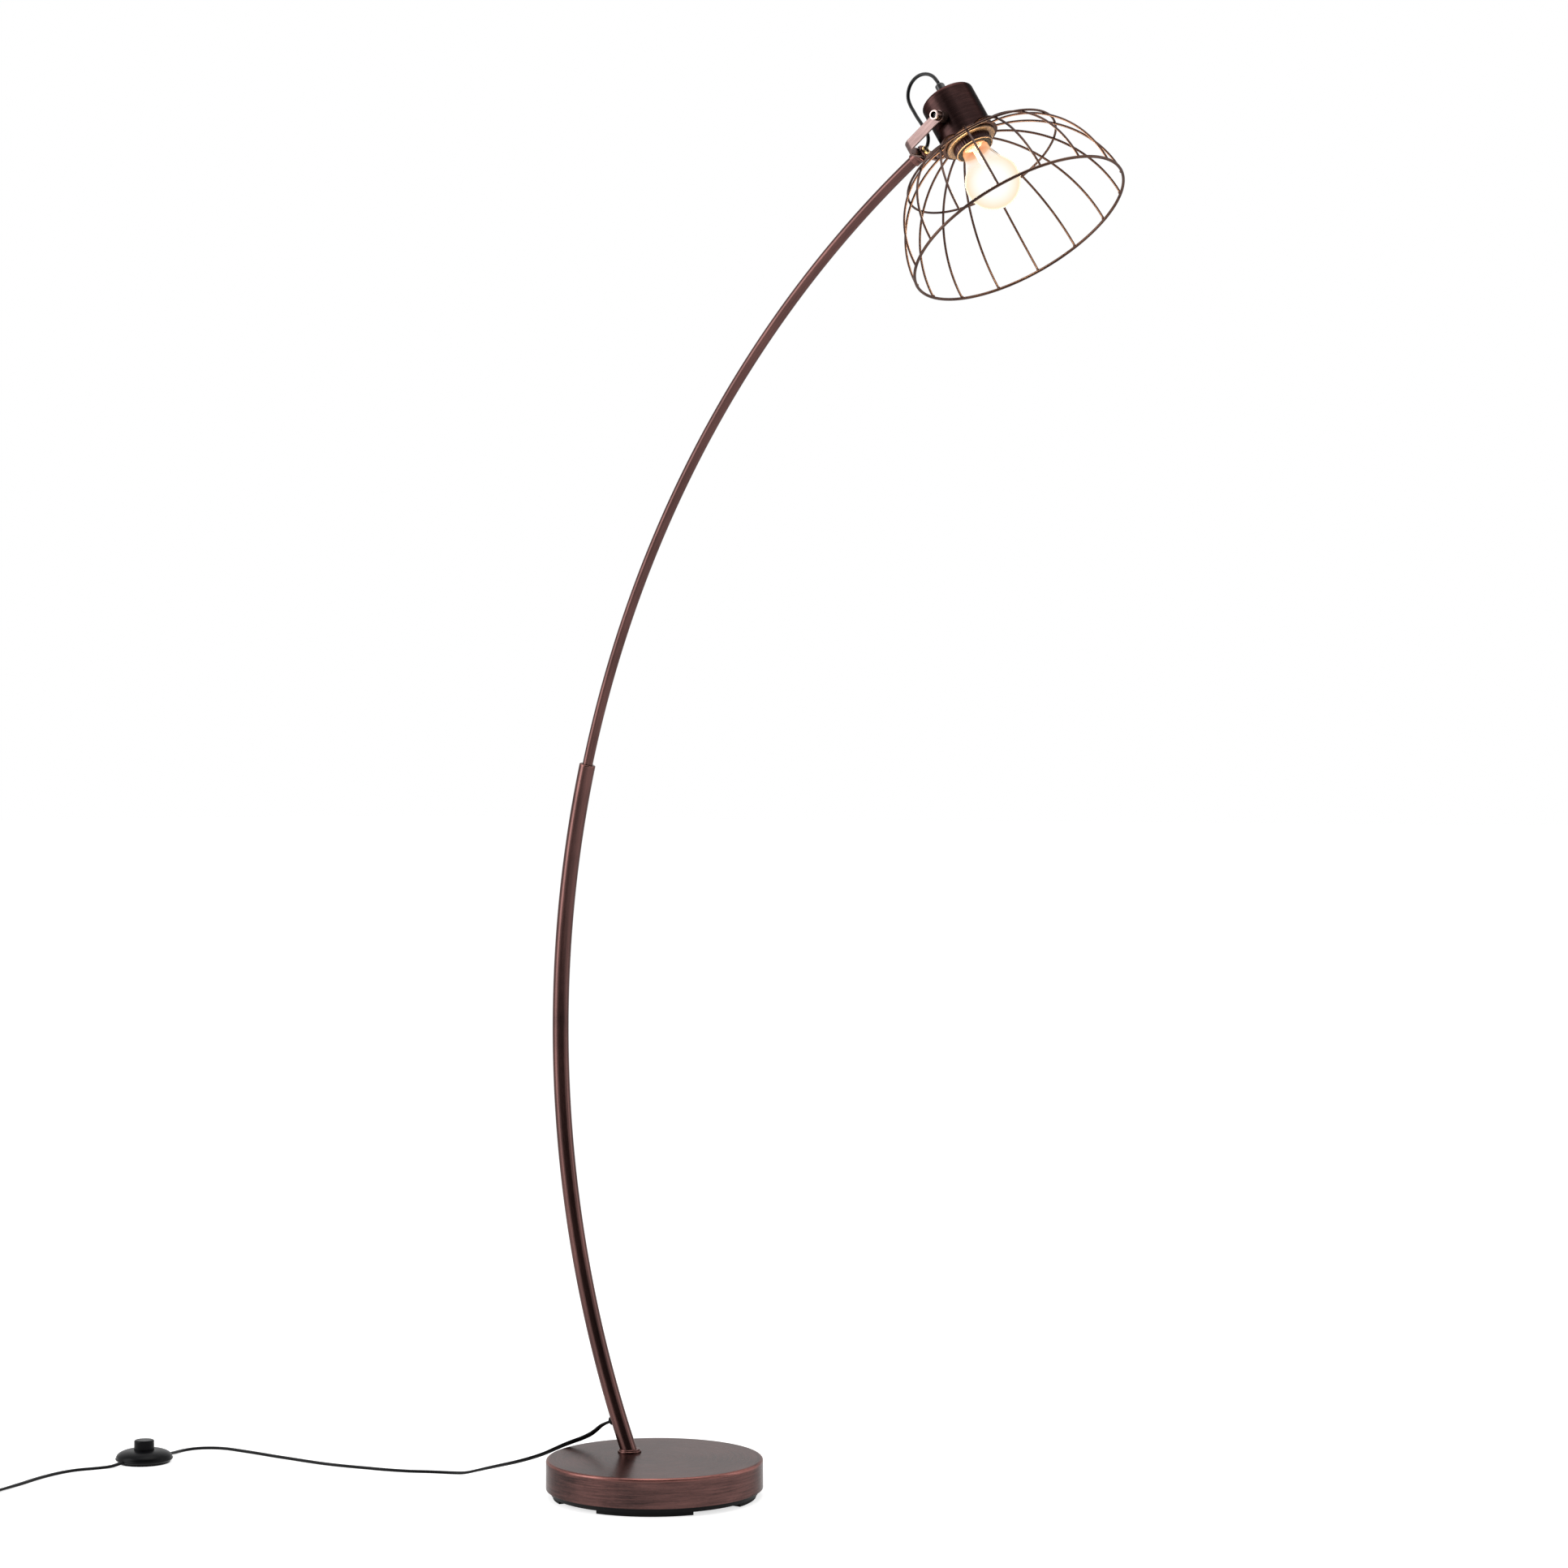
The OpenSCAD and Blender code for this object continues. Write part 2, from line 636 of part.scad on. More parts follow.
module upper_tube() color(bronze) arc_pipe(bush_from, upper_end, upper_d, upper_id);

// Rubber grommet: a neck through the tube's wall and a flange that follows the tube
module cord_grommet() color(black) difference() {
    union() {
        at_grommet() translate([0, 0, lower_d / 2 - lower_wall - 1])
            cylinder(d = grommet_hole_d, h = grommet_proud + lower_wall);
        difference() {
            at_grommet() translate([0, 0, lower_d / 4])
                cylinder(d = grommet_d, h = grommet_r - lower_d / 4);
            arc_rod(grommet_len - lower_d, grommet_len + lower_d, lower_d + 2 * seat);
        }
    }
    at_grommet() flat_bar(cord_w + 2 * seat, cord_t + 2 * seat, grommet_r + past);
}

// Bar with the flat cord's section, wide along Y
module flat_bar(w, t, h) linear_extrude(h) flat_outline(w, t);

module flat_outline(w, t) {
    square([t, w - t], center = true);
    for (side = [-1, 1]) translate([0, side * (w - t) / 2]) circle(d = t);
}

// End of the mains cord inside the tube: in through the grommet and up to the splice
module cord_inlet() color(black) at_grommet() {
    translate([0, 0, inlet_bend_r]) flat_bar(cord_w, cord_t, grommet_r - inlet_bend_r);
    translate([inlet_bend_r, 0, inlet_bend_r]) rotate([90, 0, 0]) rotate([0, 0, 180])
        rotate_extrude(angle = 90) translate([inlet_bend_r, 0]) flat_outline(cord_w, cord_t);
    translate([inlet_bend_r, 0, 0]) rotate([0, 90, 0])
        flat_bar(cord_w, cord_t, splice_z - inlet_bend_r);
}

splice_from = grommet_len + splice_z;

module lead_splice() color(black)
    arc_rod(splice_from + seat, splice_from + splice_len, splice_d);

module arm_lead() color(black)
    arc_rod(splice_from + splice_len + seat, arm_len + nipple_end - lead_in, lead_d);

// Ferrule on the tube's end: its bore follows the tube, and its body turns down to the yoke's line
module arm_ferrule() color(bronze) difference() {
    at_tip() {
        cylinder(d = ferrule_d, h = ferrule_len);
        translate([0, 0, ferrule_len - ferrule_flange_h])
            cylinder(d = ferrule_flange_d, h = ferrule_flange_h);
    }
    arc_rod(arm_len - ferrule_len, upper_end + seat, upper_d + 2 * seat);
    at_tip() translate([0, 0, ferrule_len / 4])
        cylinder(d = nipple_d + 2 * seat, h = ferrule_len);
}

// Outline of the bent strap, seen along its width. A side at distance h from the middle line runs
// along the base, round the bend, up the splayed arm and up the parallel ear.
bend_steps = 12;
function strap_line(h) = concat(
    [for (k = [0:bend_steps]) let (q = k * (90 - yoke_splay) / bend_steps)
        [base_run + (bend_r + h) * sin(q), bend_r - (bend_r + h) * cos(q)]],
    [ear_start + [h, -h * tan(yoke_splay / 2)], [yoke_half + h, yoke_reach]]);
function mirrored(line) = [for (i = [len(line) - 1:-1:0]) [-line[i][0], line[i][1]]];
function backward(line) = [for (i = [len(line) - 1:-1:0]) line[i]];

module strap_outline() {
    outer = strap_line(strap_t / 2);
    inner = strap_line(-strap_t / 2);
    polygon(concat(mirrored(outer), outer, backward(inner), backward(mirrored(inner))));
}

// Bent strap yoke, with a hole for the nipple and one for each pivot stud
module yoke() color(bronze_light) at_tip() translate([0, 0, strap_z + strap_t / 2]) difference() {
    union() {
        rotate([90, 0, 90]) linear_extrude(strap_w, center = true) strap_outline();
        both_sides() translate([0, yoke_half - strap_t / 2, yoke_reach]) rotate([-90, 0, 0])
            cylinder(d = strap_w + 0.4, h = strap_t);
    }
    translate([0, 0, -strap_t]) cylinder(d = nipple_d + 2 * seat, h = 2 * strap_t);
    translate([0, 0, yoke_reach]) rotate([90, 0, 0])
        cylinder(d = strap_hole_d, h = 3 * yoke_half, center = true);
}

module yoke_washer() color(black) at_tip() translate([0, 0, washer_z]) {
    tube(tooth_d - 3, nipple_d + 2 * seat, tooth_t);
    for (i = [0:11]) rotate([0, 0, i * 30])
        translate([tooth_d / 2 - 2.5, -0.8, 0]) cube([2.5, 1.6, tooth_t]);
}

module yoke_nut() color(bronze) at_tip() translate([0, 0, nut_z]) difference() {
    cylinder(d = nut_af / cos(30), h = nut_h, $fn = 6);
    translate([0, 0, -past]) cylinder(d = nipple_d + 2 * seat, h = nut_h + 2 * past);
}

module yoke_nipple() color(brass) at_tip()
    translate([0, 0, ferrule_len - nipple_in])
        tube(nipple_d, nipple_bore, nipple_end - ferrule_len + nipple_in);

// Hollow-ended sleeve nuts on the studs, one each side
module pivot_nuts() color(bronze_light) at_pivot() both_sides() rotate([-90, 0, 0])
    translate([0, 0, sleeve_face]) difference() {
        rotate_extrude() difference() {
            square([sleeve_d / 2, sleeve_len]);
            translate([sleeve_d / 2, sleeve_len]) circle(r = 0.6);
        }
        translate([0, 0, -past]) cylinder(d = stud_d + 2 * seat, h = sleeve_len);
        translate([0, 0, sleeve_len - sleeve_hole_depth])
            cylinder(d = sleeve_hole_d, h = sleeve_hole_depth + past);
    }

module pivot_spacers() color(black) at_pivot() difference() {
    both_sides() rotate([-90, 0, 0]) translate([0, 0, cup_in_r])
        tube(spacer_d, stud_d + 2 * seat, spacer_face - cup_in_r);
    cylinder(r = cup_r + seat, h = 2 * cup_r, center = true);
}

module pivot_studs() color(steel) at_pivot() both_sides() rotate([-90, 0, 0]) {
    translate([0, 0, stud_seat - stud_head_t]) cylinder(d = stud_head_d, h = stud_head_t);
    translate([0, 0, stud_seat - stud_head_t]) cylinder(d = stud_d, h = stud_end - stud_seat + stud_head_t);
}

module lamp_cup() color(bronze) at_pivot() difference() {
    translate([0, 0, cup_z]) difference() {
        rounded_disc(cup_d, cup_h, cup_edge_r);
        translate([0, 0, -past])
            rounded_disc(cup_d - 2 * cup_wall, cup_h - cup_wall + past, cup_edge_r - cup_wall);
    }
    cylinder(d = entry_d + 2 * seat, h = cup_h);
    rotate([90, 0, 0]) cylinder(d = stud_d + 2 * seat, h = 2 * cup_d, center = true);
}

// Cord grip: hexagonal foot, round split clamp and a hollow stem down into the holder's cap
module cord_grip() color(black) at_pivot() difference() {
    union() {
        translate([0, 0, cup_top]) rounded_disc(grip_d, grip_h, 1);
        translate([0, 0, cup_top]) cylinder(d = grip_d + 2.4, h = 3);
        translate([0, 0, holder_top - 5]) cylinder(d = entry_d, h = cup_top - holder_top + 5 + past);
    }
    cylinder(d = lead_d + 2 * seat, h = 2 * grip_top);
    translate([grip_d / 2 - 1.2, -grip_d, cup_top + 6]) cube([grip_d, 2 * grip_d, grip_h]);
}

lead_path = concat([lead_start],
    [for (q = lead_route) tip + q[0] * tip_way + q[1] * (tip_up + [0, lead_side, 0])],
    [grip_out + grip_lead * shade_way, grip_out, grip_out - grip_in * shade_way]);

module head_lead() color(black) {
    p = smooth(lead_path, 2);
    n = 10;
    section = [for (k = [0:n - 1]) lead_d / 2 * [cos(k * 360 / n), sin(k * 360 / n)]];
    skin([for (i = [0:len(p) - 1]) ring_points(p[i], run_way(p, i, lead_path), section, 0, false)]);
}

module holder_cap() color(black) at_pivot() translate([0, 0, skirt_top + seat]) difference() {
    rounded_disc(skirt_d - 2, holder_cap_h - seat, 5);
    translate([0, 0, -past])
        rounded_disc(skirt_d - 2 - 2 * holder_wall, holder_cap_h - holder_wall + past, 3);
    cylinder(d = entry_d + 2 * seat, h = 2 * holder_cap_h);
}

module holder_skirt() color(black) at_pivot() difference() {
    union() {
        translate([0, 0, skirt_z]) cylinder(d = skirt_d, h = skirt_top - skirt_z);
        translate([0, 0, cup_z + seat]) cylinder(r = skirt_flange_r, h = skirt_flange_t);
    }
    translate([0, 0, skirt_z - past]) cylinder(d = shell_d + 2 * seat, h = skirt_top - skirt_z + 2 * past);
    translate([0, 0, skirt_z - past]) cylinder(r = neck_r + clear, h = mouth_depth + past);
}

module holder_core() color([0.9, 0.88, 0.84]) at_pivot()
    translate([0, 0, skirt_top - core_t]) cylinder(d = shell_d - 2 * shell_wall - 2 * seat, h = core_t);

module screw_shell() color(brass) at_pivot()
    translate([0, 0, shell_z]) tube(shell_d, shell_d - 2 * shell_wall, shell_len);

module centre_contact() color(brass) at_pivot() {
    translate([0, 0, bulb_cap_top + seat])
        cylinder(d = 6, h = skirt_top - core_t - bulb_cap_top - 2 * seat);
}

module shade_ring() color(bronze) at_pivot() difference() {
    union() {
        translate([0, 0, shade_ring_top - flange_t]) cylinder(d = flange_d, h = flange_t);
        translate([0, 0, skirt_z]) cylinder(d = skirt_d + 2 * grip_wall, h = skirt_drop - seat);
    }
    translate([0, 0, skirt_z - past]) cylinder(d = skirt_d + 2 * seat, h = skirt_drop + 2 * past);
}

// Welded wire cage: rim, ribs on a half globe, a middle ring outside them and the hub plate
module wire_cage() color(bronze) at_pivot() {
    translate([0, 0, rim_z]) {
        rotate_extrude($fn = 128) translate([cage_r, 0]) circle(d = rim_d, $fn = 24);
        translate([0, 0, ring_r * sin(ring_angle)])
            rotate_extrude($fn = 128) translate([ring_r * cos(ring_angle), 0]) circle(d = ring_d, $fn = 24);
        for (i = [0:rib_n - 1]) rotate([90, 0, cage_turn + i * 360 / rib_n])
            rotate_extrude(angle = hub_angle, $fn = 128) translate([cage_r, 0]) circle(d = rib_d, $fn = 24);
    }
    translate([0, 0, hub_z]) difference() {
        cylinder(d = hub_d, h = hub_t);
        translate([0, 0, -past]) cylinder(r = hub_hole_r, h = hub_t + 2 * past);
    }
}

// Half outline of the bulb, from the tip: globe, hollow curve, neck and the taper into the cap
touch_angle = atan2(neck_rise, neck_r + neck_curve_r);
glass_steps = 20;
function bulb_line(inset, end) = let (r = globe_r - inset, c = neck_curve_r + inset) concat(
    [for (k = [0:glass_steps]) let (q = -90 + k * (90 + touch_angle) / glass_steps)
        [k == 0 ? 0 : r * cos(q), r * sin(q)]],
    [for (k = [1:glass_steps / 2]) let (q = touch_angle * (1 - 2 * k / glass_steps))
        [neck_r + neck_curve_r - c * cos(q), neck_rise - c * sin(q)]],
    [[cap_r - 1 - inset, neck_rise + neck_taper], [cap_r - 1 - inset, neck_rise + neck_taper + end],
        [0, neck_rise + neck_taper + end]]);

module bulb_glass() color(glass) at_pivot() translate([0, 0, globe_z]) rotate_extrude() difference() {
    polygon(bulb_line(0, neck_in));
    polygon(bulb_line(glass_t, neck_in + past));
}

module bulb_cap() color(steel) at_pivot() translate([0, 0, bulb_cap_z]) rotate_extrude()
    difference() {
        polygon([[0, 0], [cap_r, 0], [cap_r, bulb_cap_len - 8], [cap_r - 4, bulb_cap_len - 3],
            [4.5, bulb_cap_len - 1], [4.5, bulb_cap_len], [0, bulb_cap_len]]);
        polygon([[0, -past], [cap_r - 0.6, -past], [cap_r - 0.6, bulb_cap_len - 9], [0, bulb_cap_len - 9]]);
    }

// Glass stem with its two lead-in wires
module bulb_stem() color(glass) at_pivot() {
    translate([0, 0, stem_top - stem_len]) rotate_extrude()
        polygon([[0, 0], [2.2, 0], [3, 4], [3, stem_len - 8], [7, stem_len - 1.2], [stem_r, stem_len - 1.2],
            [stem_r, stem_len], [0, stem_len]]);
    for (side = [-1, 1]) translate([side * filament_ring_d / 2, 0, filament_z])
        rotate([0, side * wire_lean, 0])
            cylinder(d = 0.8, h = norm([filament_ring_d / 2 - 2, stem_top - stem_len - filament_z]) + 1);
}

wire_lean = -atan((filament_ring_d / 2 - 2) / (stem_top - stem_len - filament_z));

module bulb_filament() color([1, 0.8, 0.4]) at_pivot() translate([0, 0, filament_z - filament_d / 2 - 0.2])
    rotate_extrude(angle = 180) translate([filament_ring_d / 2, 0]) circle(d = filament_d, $fn = 16);

module at_switch() {
    translate([switch_at[0], switch_at[1], 0]) children();
}

key_skirt_d = button_d + 4;
key_skirt_h = 2.5;
key_z = dome_h - dome_t - clear - key_skirt_h - 0.1;
spring_d = 10;

module switch_floor() color(black) at_switch() translate([0, 0, 0.05]) union() {
    cylinder(d1 = switch_d - 7, d2 = switch_d - 5, h = switch_floor_t - 0.05);
    translate([0, 0, switch_floor_t - 0.05]) tube(spring_d - 3, spring_d - 6, 3);
}

// Low dome with a sharp brim, a bore for the button and a cord port each side
module switch_dome() color(black) at_switch() difference() {
    rotate_extrude() dome_outline(0);
    rotate_extrude() dome_outline(dome_t);
    cylinder(d = button_d + 2 * clear, h = 2 * dome_h);
    translate([0, 0, port_z])
        cube([cord_w + 2 * clear + 1, 2 * switch_d, cord_t + 2 * clear], center = true);
}

module dome_outline(inset) {
    top = dome_h - inset;
    brim = switch_d / 2 - inset * 1.3;
    polygon([[0, switch_floor_t + seat], [switch_d / 2 - 2.3 - inset, switch_floor_t + seat],
        [brim - 0.4, switch_brim_h - 1], [brim, switch_brim_h], [brim - 1, switch_brim_h + 1.4],
        for (k = [1:6]) [button_d / 2 + 1 + (brim - 1 - button_d / 2 - 1) * cos(k * 15),
            switch_brim_h + 1.4 + (top - switch_brim_h - 1.4) * sin(k * 15)],
        [0, top]]);
}

module switch_button() color(black) at_switch() difference() {
    union() {
        translate([0, 0, key_z]) rounded_disc(button_d, button_h - key_z, 2);
        translate([0, 0, key_z]) cylinder(d = key_skirt_d, h = key_skirt_h);
    }
    translate([0, 0, key_z - past]) cylinder(d = spring_d + 3, h = button_h - key_z - 4 + past);
}

// Return spring under the button
spring_turns = 4;
spring_steps = 12;
spring_wire = 1;
spring_z = switch_floor_t + spring_wire / 2 + seat;
spring_h = button_h - 4 - spring_wire / 2 - seat - spring_z;

module switch_spring() color(steel) at_switch() {
    p = [for (i = [0:spring_turns * spring_steps])
        [spring_d / 2 * cos(i * 360 / spring_steps), spring_d / 2 * sin(i * 360 / spring_steps),
            spring_z + spring_h * i / (spring_turns * spring_steps)]];
    section = [for (k = [0:5]) spring_wire / 2 * [cos(k * 60), sin(k * 60)]];
    skin([for (i = [0:len(p) - 1]) ring_points(p[i], way(p, i), section, 0, true)]);
}

// Terminal blocks that clamp the cord each side of the contacts
module switch_block() color([0.85, 0.83, 0.78]) at_switch() for (side = [-1, 1])
    translate([-6, side * (switch_port - 2) - 2, switch_floor_t + seat]) cube([12, 4, 5]);

path_1 = let (q = [switch_at[0], switch_at[1] + switch_port, port_z])
    concat([exit_point, exit_point + cord_w * exit_way, exit_point + 2 * cord_w * exit_way], route_1,
        [q + [0, 22, -0.3], q + [0, 9, 0], q]);
path_2 = let (q = [switch_at[0], switch_at[1] - switch_port, port_z], start = coil_point(0))
    concat([q, q - [0, 9, 0]], route_2, [start + [0, 4 * cord_w, 0], start + [0, 2 * cord_w, 0]]);

// Flat cord along a route. Over its last rings it turns up on edge, or not at all if these are 0.
module flat_run(path, turn_rings) color(black) {
    p = smooth(path, 2);
    n = len(p) - 1;
    skin([for (i = [0:n]) ring_points(p[i], run_way(p, i, path), flat_8,
        turn_rings == 0 ? 0 : 90 * min(1, max(0, 1 - (n - 1 - i) / turn_rings)), true)]);
}

module cord_run_1() flat_run(path_1, 0);

module cord_run_2() flat_run(path_2, 10);

// Coil: it spirals in, climbs in the half turn where it reverses, and spirals out again
function coil_radius(u) = coil_r - coil_pitch * (turn_back - abs(u - turn_back));
function coil_height(u) = coil_z + coil_rise * min(1, max(0, (u - turns_in) / 0.5));
function coil_point(u) = [coil_at[0] + coil_radius(u) * cos(180 + 360 * u),
    coil_at[1] + coil_radius(u) * sin(180 + 360 * u), coil_height(u)];
coil_path = concat([coil_point(0) + [0, 2 * cord_w, 0], coil_point(0) + [0, cord_w, 0]],
    [for (i = [0:coil_turns * coil_steps]) coil_point(i / coil_steps)],
    [coil_point(coil_turns) - [0, 2 * cord_w, 0.6], coil_point(coil_turns) - [0, 4 * cord_w, 2],
        [plug_at[0], plug_at[1] + cord_w, plug_z], [plug_at[0], plug_at[1], plug_z]]);
coil_last = len(coil_path) - 1;
coil_rings = [for (i = [0:coil_last])
    ring_points(coil_path[i], way(coil_path, i), flat_6, 90 + 30 * max(0, i - coil_last + 3), true)];
coil_gap = min([for (i = [2:coil_turns * coil_steps + 2 - coil_steps],
    j = [i + coil_steps:coil_steps:coil_turns * coil_steps + 2], a = coil_rings[i], b = coil_rings[j])
    norm(a - b)]);

module cord_coil() color(black) skin(coil_rings);

// Tie: a flat band round both layers, on the side away from the ends
tie_turn = -40;
tie_u = (tie_turn + 180) / 360;
tie_in_r = coil_radius(tie_u + 2) - cord_t / 2 - 0.4;
tie_out_r = coil_radius(tie_u) + cord_t / 2 + 0.4;
tie_top = coil_z + coil_rise + cord_w / 2 + 0.1;

module coil_tie() color(black) translate([coil_at[0], coil_at[1], 0]) rotate([0, 0, tie_turn])
    rotate([90, 0, 0]) linear_extrude(tie_w, center = true) difference() {
        translate([tie_in_r - tie_t, 0.05])
            square([tie_out_r - tie_in_r + 2 * tie_t, tie_top + tie_t - 0.05]);
        translate([tie_in_r, 0.05 + tie_t])
            square([tie_out_r - tie_in_r, tie_top - tie_t - 0.05]);
    }

module at_plug() {
    translate([plug_at[0], plug_at[1], plug_z]) rotate([90, 0, 0]) children();
}

// Flat two-pin plug: waisted body with a tapered, ribbed strain relief
module plug_body() color(black) at_plug() difference() {
    union() {
        cylinder(d1 = cord_w + 3, d2 = plug_t - 3, h = relief_len);
        hull() {
            translate([0, 0, relief_len - 4]) cylinder(d = plug_t - 2, h = 1, $fn = 32);
            for (side = [-1, 1]) translate([side * (plug_w - plug_t) / 2, 0, relief_len + plug_len - 12])
                cylinder(d = plug_t, h = 12, $fn = 32);
        }
        for (side = [-1, 1]) translate([side * pin_gap / 2, 0, relief_len + plug_len - past])
            cylinder(d = pin_d, h = pin_sleeve_len + past);
    }
    for (side = [-1, 1]) translate([side * pin_gap / 2, 0, relief_len + plug_len - 8])
        cylinder(d = pin_core_d + 2 * seat, h = 2 * pin_len);
}

module plug_pins() color(steel) at_plug() for (side = [-1, 1])
    translate([side * pin_gap / 2, 0, relief_len + plug_len]) {
        translate([0, 0, -8]) cylinder(d = pin_core_d, h = pin_sleeve_len + 8 + seat * 2);
        translate([0, 0, pin_sleeve_len + seat]) rounded_disc(pin_d, pin_len - pin_sleeve_len, 0.8);
    }

echo(cord_length = length_of(path_1) + length_of(path_2) + length_of(coil_path));
echo(coil_length = length_of(coil_path), coil_gap = coil_gap);
echo(tip = tip, pivot = pivot, rim = pivot + rim_z * shade_way);
echo(pin_way = pin_way, shade_way = shade_way, exit_point = exit_point);

base_cover();
counterweight();
base_tray();
foot_pads();
foot_bolt();
foot_washer();
foot_collar();
lower_tube();
tube_cap();
tube_bush();
upper_tube();
cord_grommet();
cord_inlet();
lead_splice();
arm_lead();
arm_ferrule();
yoke();
yoke_washer();
yoke_nut();
yoke_nipple();
pivot_nuts();
pivot_spacers();
pivot_studs();
lamp_cup();
cord_grip();
head_lead();
holder_cap();
holder_skirt();
holder_core();
screw_shell();
centre_contact();
shade_ring();
wire_cage();
bulb_glass();
bulb_cap();
bulb_stem();
bulb_filament();
switch_floor();
switch_dome();
switch_button();
switch_spring();
switch_block();
cord_run_1();
cord_run_2();
cord_coil();
coil_tie();
plug_body();
plug_pins();
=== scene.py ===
"""Arc floor lamp with a shade of bare wires: its finish, cords and fine shapes, in metres."""
import json
from math import atan2, cos, pi, radians, sin, sqrt

import bmesh
import bpy
import numpy as np
from mathutils import Matrix, Vector


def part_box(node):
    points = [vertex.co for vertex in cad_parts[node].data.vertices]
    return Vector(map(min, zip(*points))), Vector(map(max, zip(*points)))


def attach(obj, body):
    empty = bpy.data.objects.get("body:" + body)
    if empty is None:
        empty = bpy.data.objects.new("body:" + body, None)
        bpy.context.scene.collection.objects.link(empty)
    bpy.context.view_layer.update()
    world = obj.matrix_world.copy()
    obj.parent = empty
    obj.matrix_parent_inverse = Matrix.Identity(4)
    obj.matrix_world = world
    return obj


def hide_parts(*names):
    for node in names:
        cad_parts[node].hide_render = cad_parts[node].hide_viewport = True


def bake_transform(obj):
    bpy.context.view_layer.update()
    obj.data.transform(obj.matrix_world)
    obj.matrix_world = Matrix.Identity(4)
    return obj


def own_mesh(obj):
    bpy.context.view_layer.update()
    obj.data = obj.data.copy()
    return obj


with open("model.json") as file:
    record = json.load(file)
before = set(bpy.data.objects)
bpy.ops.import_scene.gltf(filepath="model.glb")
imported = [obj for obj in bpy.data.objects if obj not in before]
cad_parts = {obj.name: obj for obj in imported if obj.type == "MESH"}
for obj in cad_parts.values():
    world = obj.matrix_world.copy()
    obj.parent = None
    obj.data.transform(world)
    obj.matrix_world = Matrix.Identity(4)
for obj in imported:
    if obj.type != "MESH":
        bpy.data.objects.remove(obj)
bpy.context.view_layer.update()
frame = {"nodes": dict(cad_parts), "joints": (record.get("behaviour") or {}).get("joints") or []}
scene = bpy.context.scene
scene.view_settings.view_transform = "Standard"

# Camera: level, 0.82 m above the floor and four metres from the lamp.
# A long lens keeps the arc's line true, and nothing is shifted or thrown out of focus.
camera_at = Vector((2.605, -3.092, 0.8197))
looking = Vector((-0.6157, 0.788, 0))
camera = bpy.data.objects.new("camera", bpy.data.cameras.new("camera"))
camera.data.sensor_width = 36
camera.data.lens = 80.55
camera.data.clip_end = 200
camera.location = camera_at
camera.rotation_mode = "QUATERNION"
camera.rotation_quaternion = looking.to_track_quat("-Z", "Y")
scene.collection.objects.link(camera)
scene.camera = camera

# Mains cord: a flat two-core flex with a black vinyl sheath, 5.4 mm wide.
# It leaves the grommet, drops to the floor, goes through the foot switch and ends in a tied coil
# and a flat plug, which lie outside the view. Each stretch is one sheath drawn along its route.
cord_width = 0.0054
cord_thickness = 0.0032
cord_groove = 0.00035
cord_lie = 0.00165
foot_low, foot_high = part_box("foot_washer")
foot = (foot_low + foot_high) / 2
arc_y = foot.y
base_low, base_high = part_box("base_cover")
base_top = base_high.z
arc_radius = 1.167
foot_lean = radians(24.7)
arc_centre = Vector((foot.x + arc_radius * cos(foot_lean), arc_y,
                     base_top + arc_radius * sin(foot_lean)))
lower_tube_r = 0.0095
grommet_along = 0.041
grommet_proud = 0.0025
switch_low, switch_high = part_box("switch_dome")
switch_at = (switch_low + switch_high) / 2
switch_port = 0.014
port_z = 0.0045
port_straight = 0.009
coil_at = Vector((-0.565, -0.55, 0.00355))
coil_r = 0.0315
coil_pitch = 0.0044
coil_rise = 0.0061
turns_in = 1.75
turn_back = 2.0
coil_turns = 4
turn_steps = 72
plug_beyond = 0.038
plug_z = 0.00705
plug_at = Vector((coil_at.x - coil_r, coil_at.y - plug_beyond, plug_z))


def on_arc(along, out=0.0):
    """Point on the arc: its angle falls from the foot's by the distance along over the radius, and
    its radius grows by the distance out."""
    angle = pi + foot_lean - along / arc_radius
    return arc_centre + (arc_radius + out) * Vector((cos(angle), 0, sin(angle)))


def curve_through(points, steps=8):
    """Smooth curve through points: each span is the cubic whose slope at a point is half the way
    from the point before it to the point after it."""
    p = np.asarray(points, float)
    q = np.vstack([p[:1], p, p[-1:]])
    a, b, c, d = (x[:, None, :] for x in (q[:-3], q[1:-2], q[2:-1], q[3:]))
    t = (np.arange(steps) / steps)[None, :, None]
    spans = 0.5 * (2 * b + (c - a) * t + (2 * a - 5 * b + 4 * c - d) * t**2
                   + (3 * b - 3 * c + d - a) * t**3)
    return np.vstack([spans.reshape(-1, 3), p[-1:]])


def gone_along(path):
    """Distance from the start at each point: the running sum of the distances between points."""
    return np.concatenate([[0], np.cumsum(np.linalg.norm(np.diff(path, axis=0), axis=1))])


def sweep(path, outline, up, twist=0.0, widths=1.0, squeeze=0.04):
    """Grid of an outline carried along a path, and the grain that follows it. A row is the path's
    point plus the outline's x along the side and its y along the lift; the side is square to the
    path and to up. Grain: distance along the path, squeezed, then the outline's own place."""
    along = np.gradient(path, axis=0)
    along /= np.linalg.norm(along, axis=1, keepdims=True)
    side = np.cross(np.broadcast_to(up, along.shape), along)
    side /= np.linalg.norm(side, axis=1, keepdims=True)
    lift = np.cross(along, side)
    turn = np.broadcast_to(twist, len(path))[:, None]
    x = outline[:, 0] * np.broadcast_to(widths, len(path))[:, None]
    y = np.broadcast_to(outline[:, 1], x.shape)
    grid = (path[:, None] + (x * np.cos(turn) - y * np.sin(turn))[..., None] * side[:, None]
            + (x * np.sin(turn) + y * np.cos(turn))[..., None] * lift[:, None])
    gone = np.broadcast_to(squeeze * gone_along(path)[:, None], x.shape)
    grain = np.stack([gone, x, y], axis=-1)
    return grid, grain


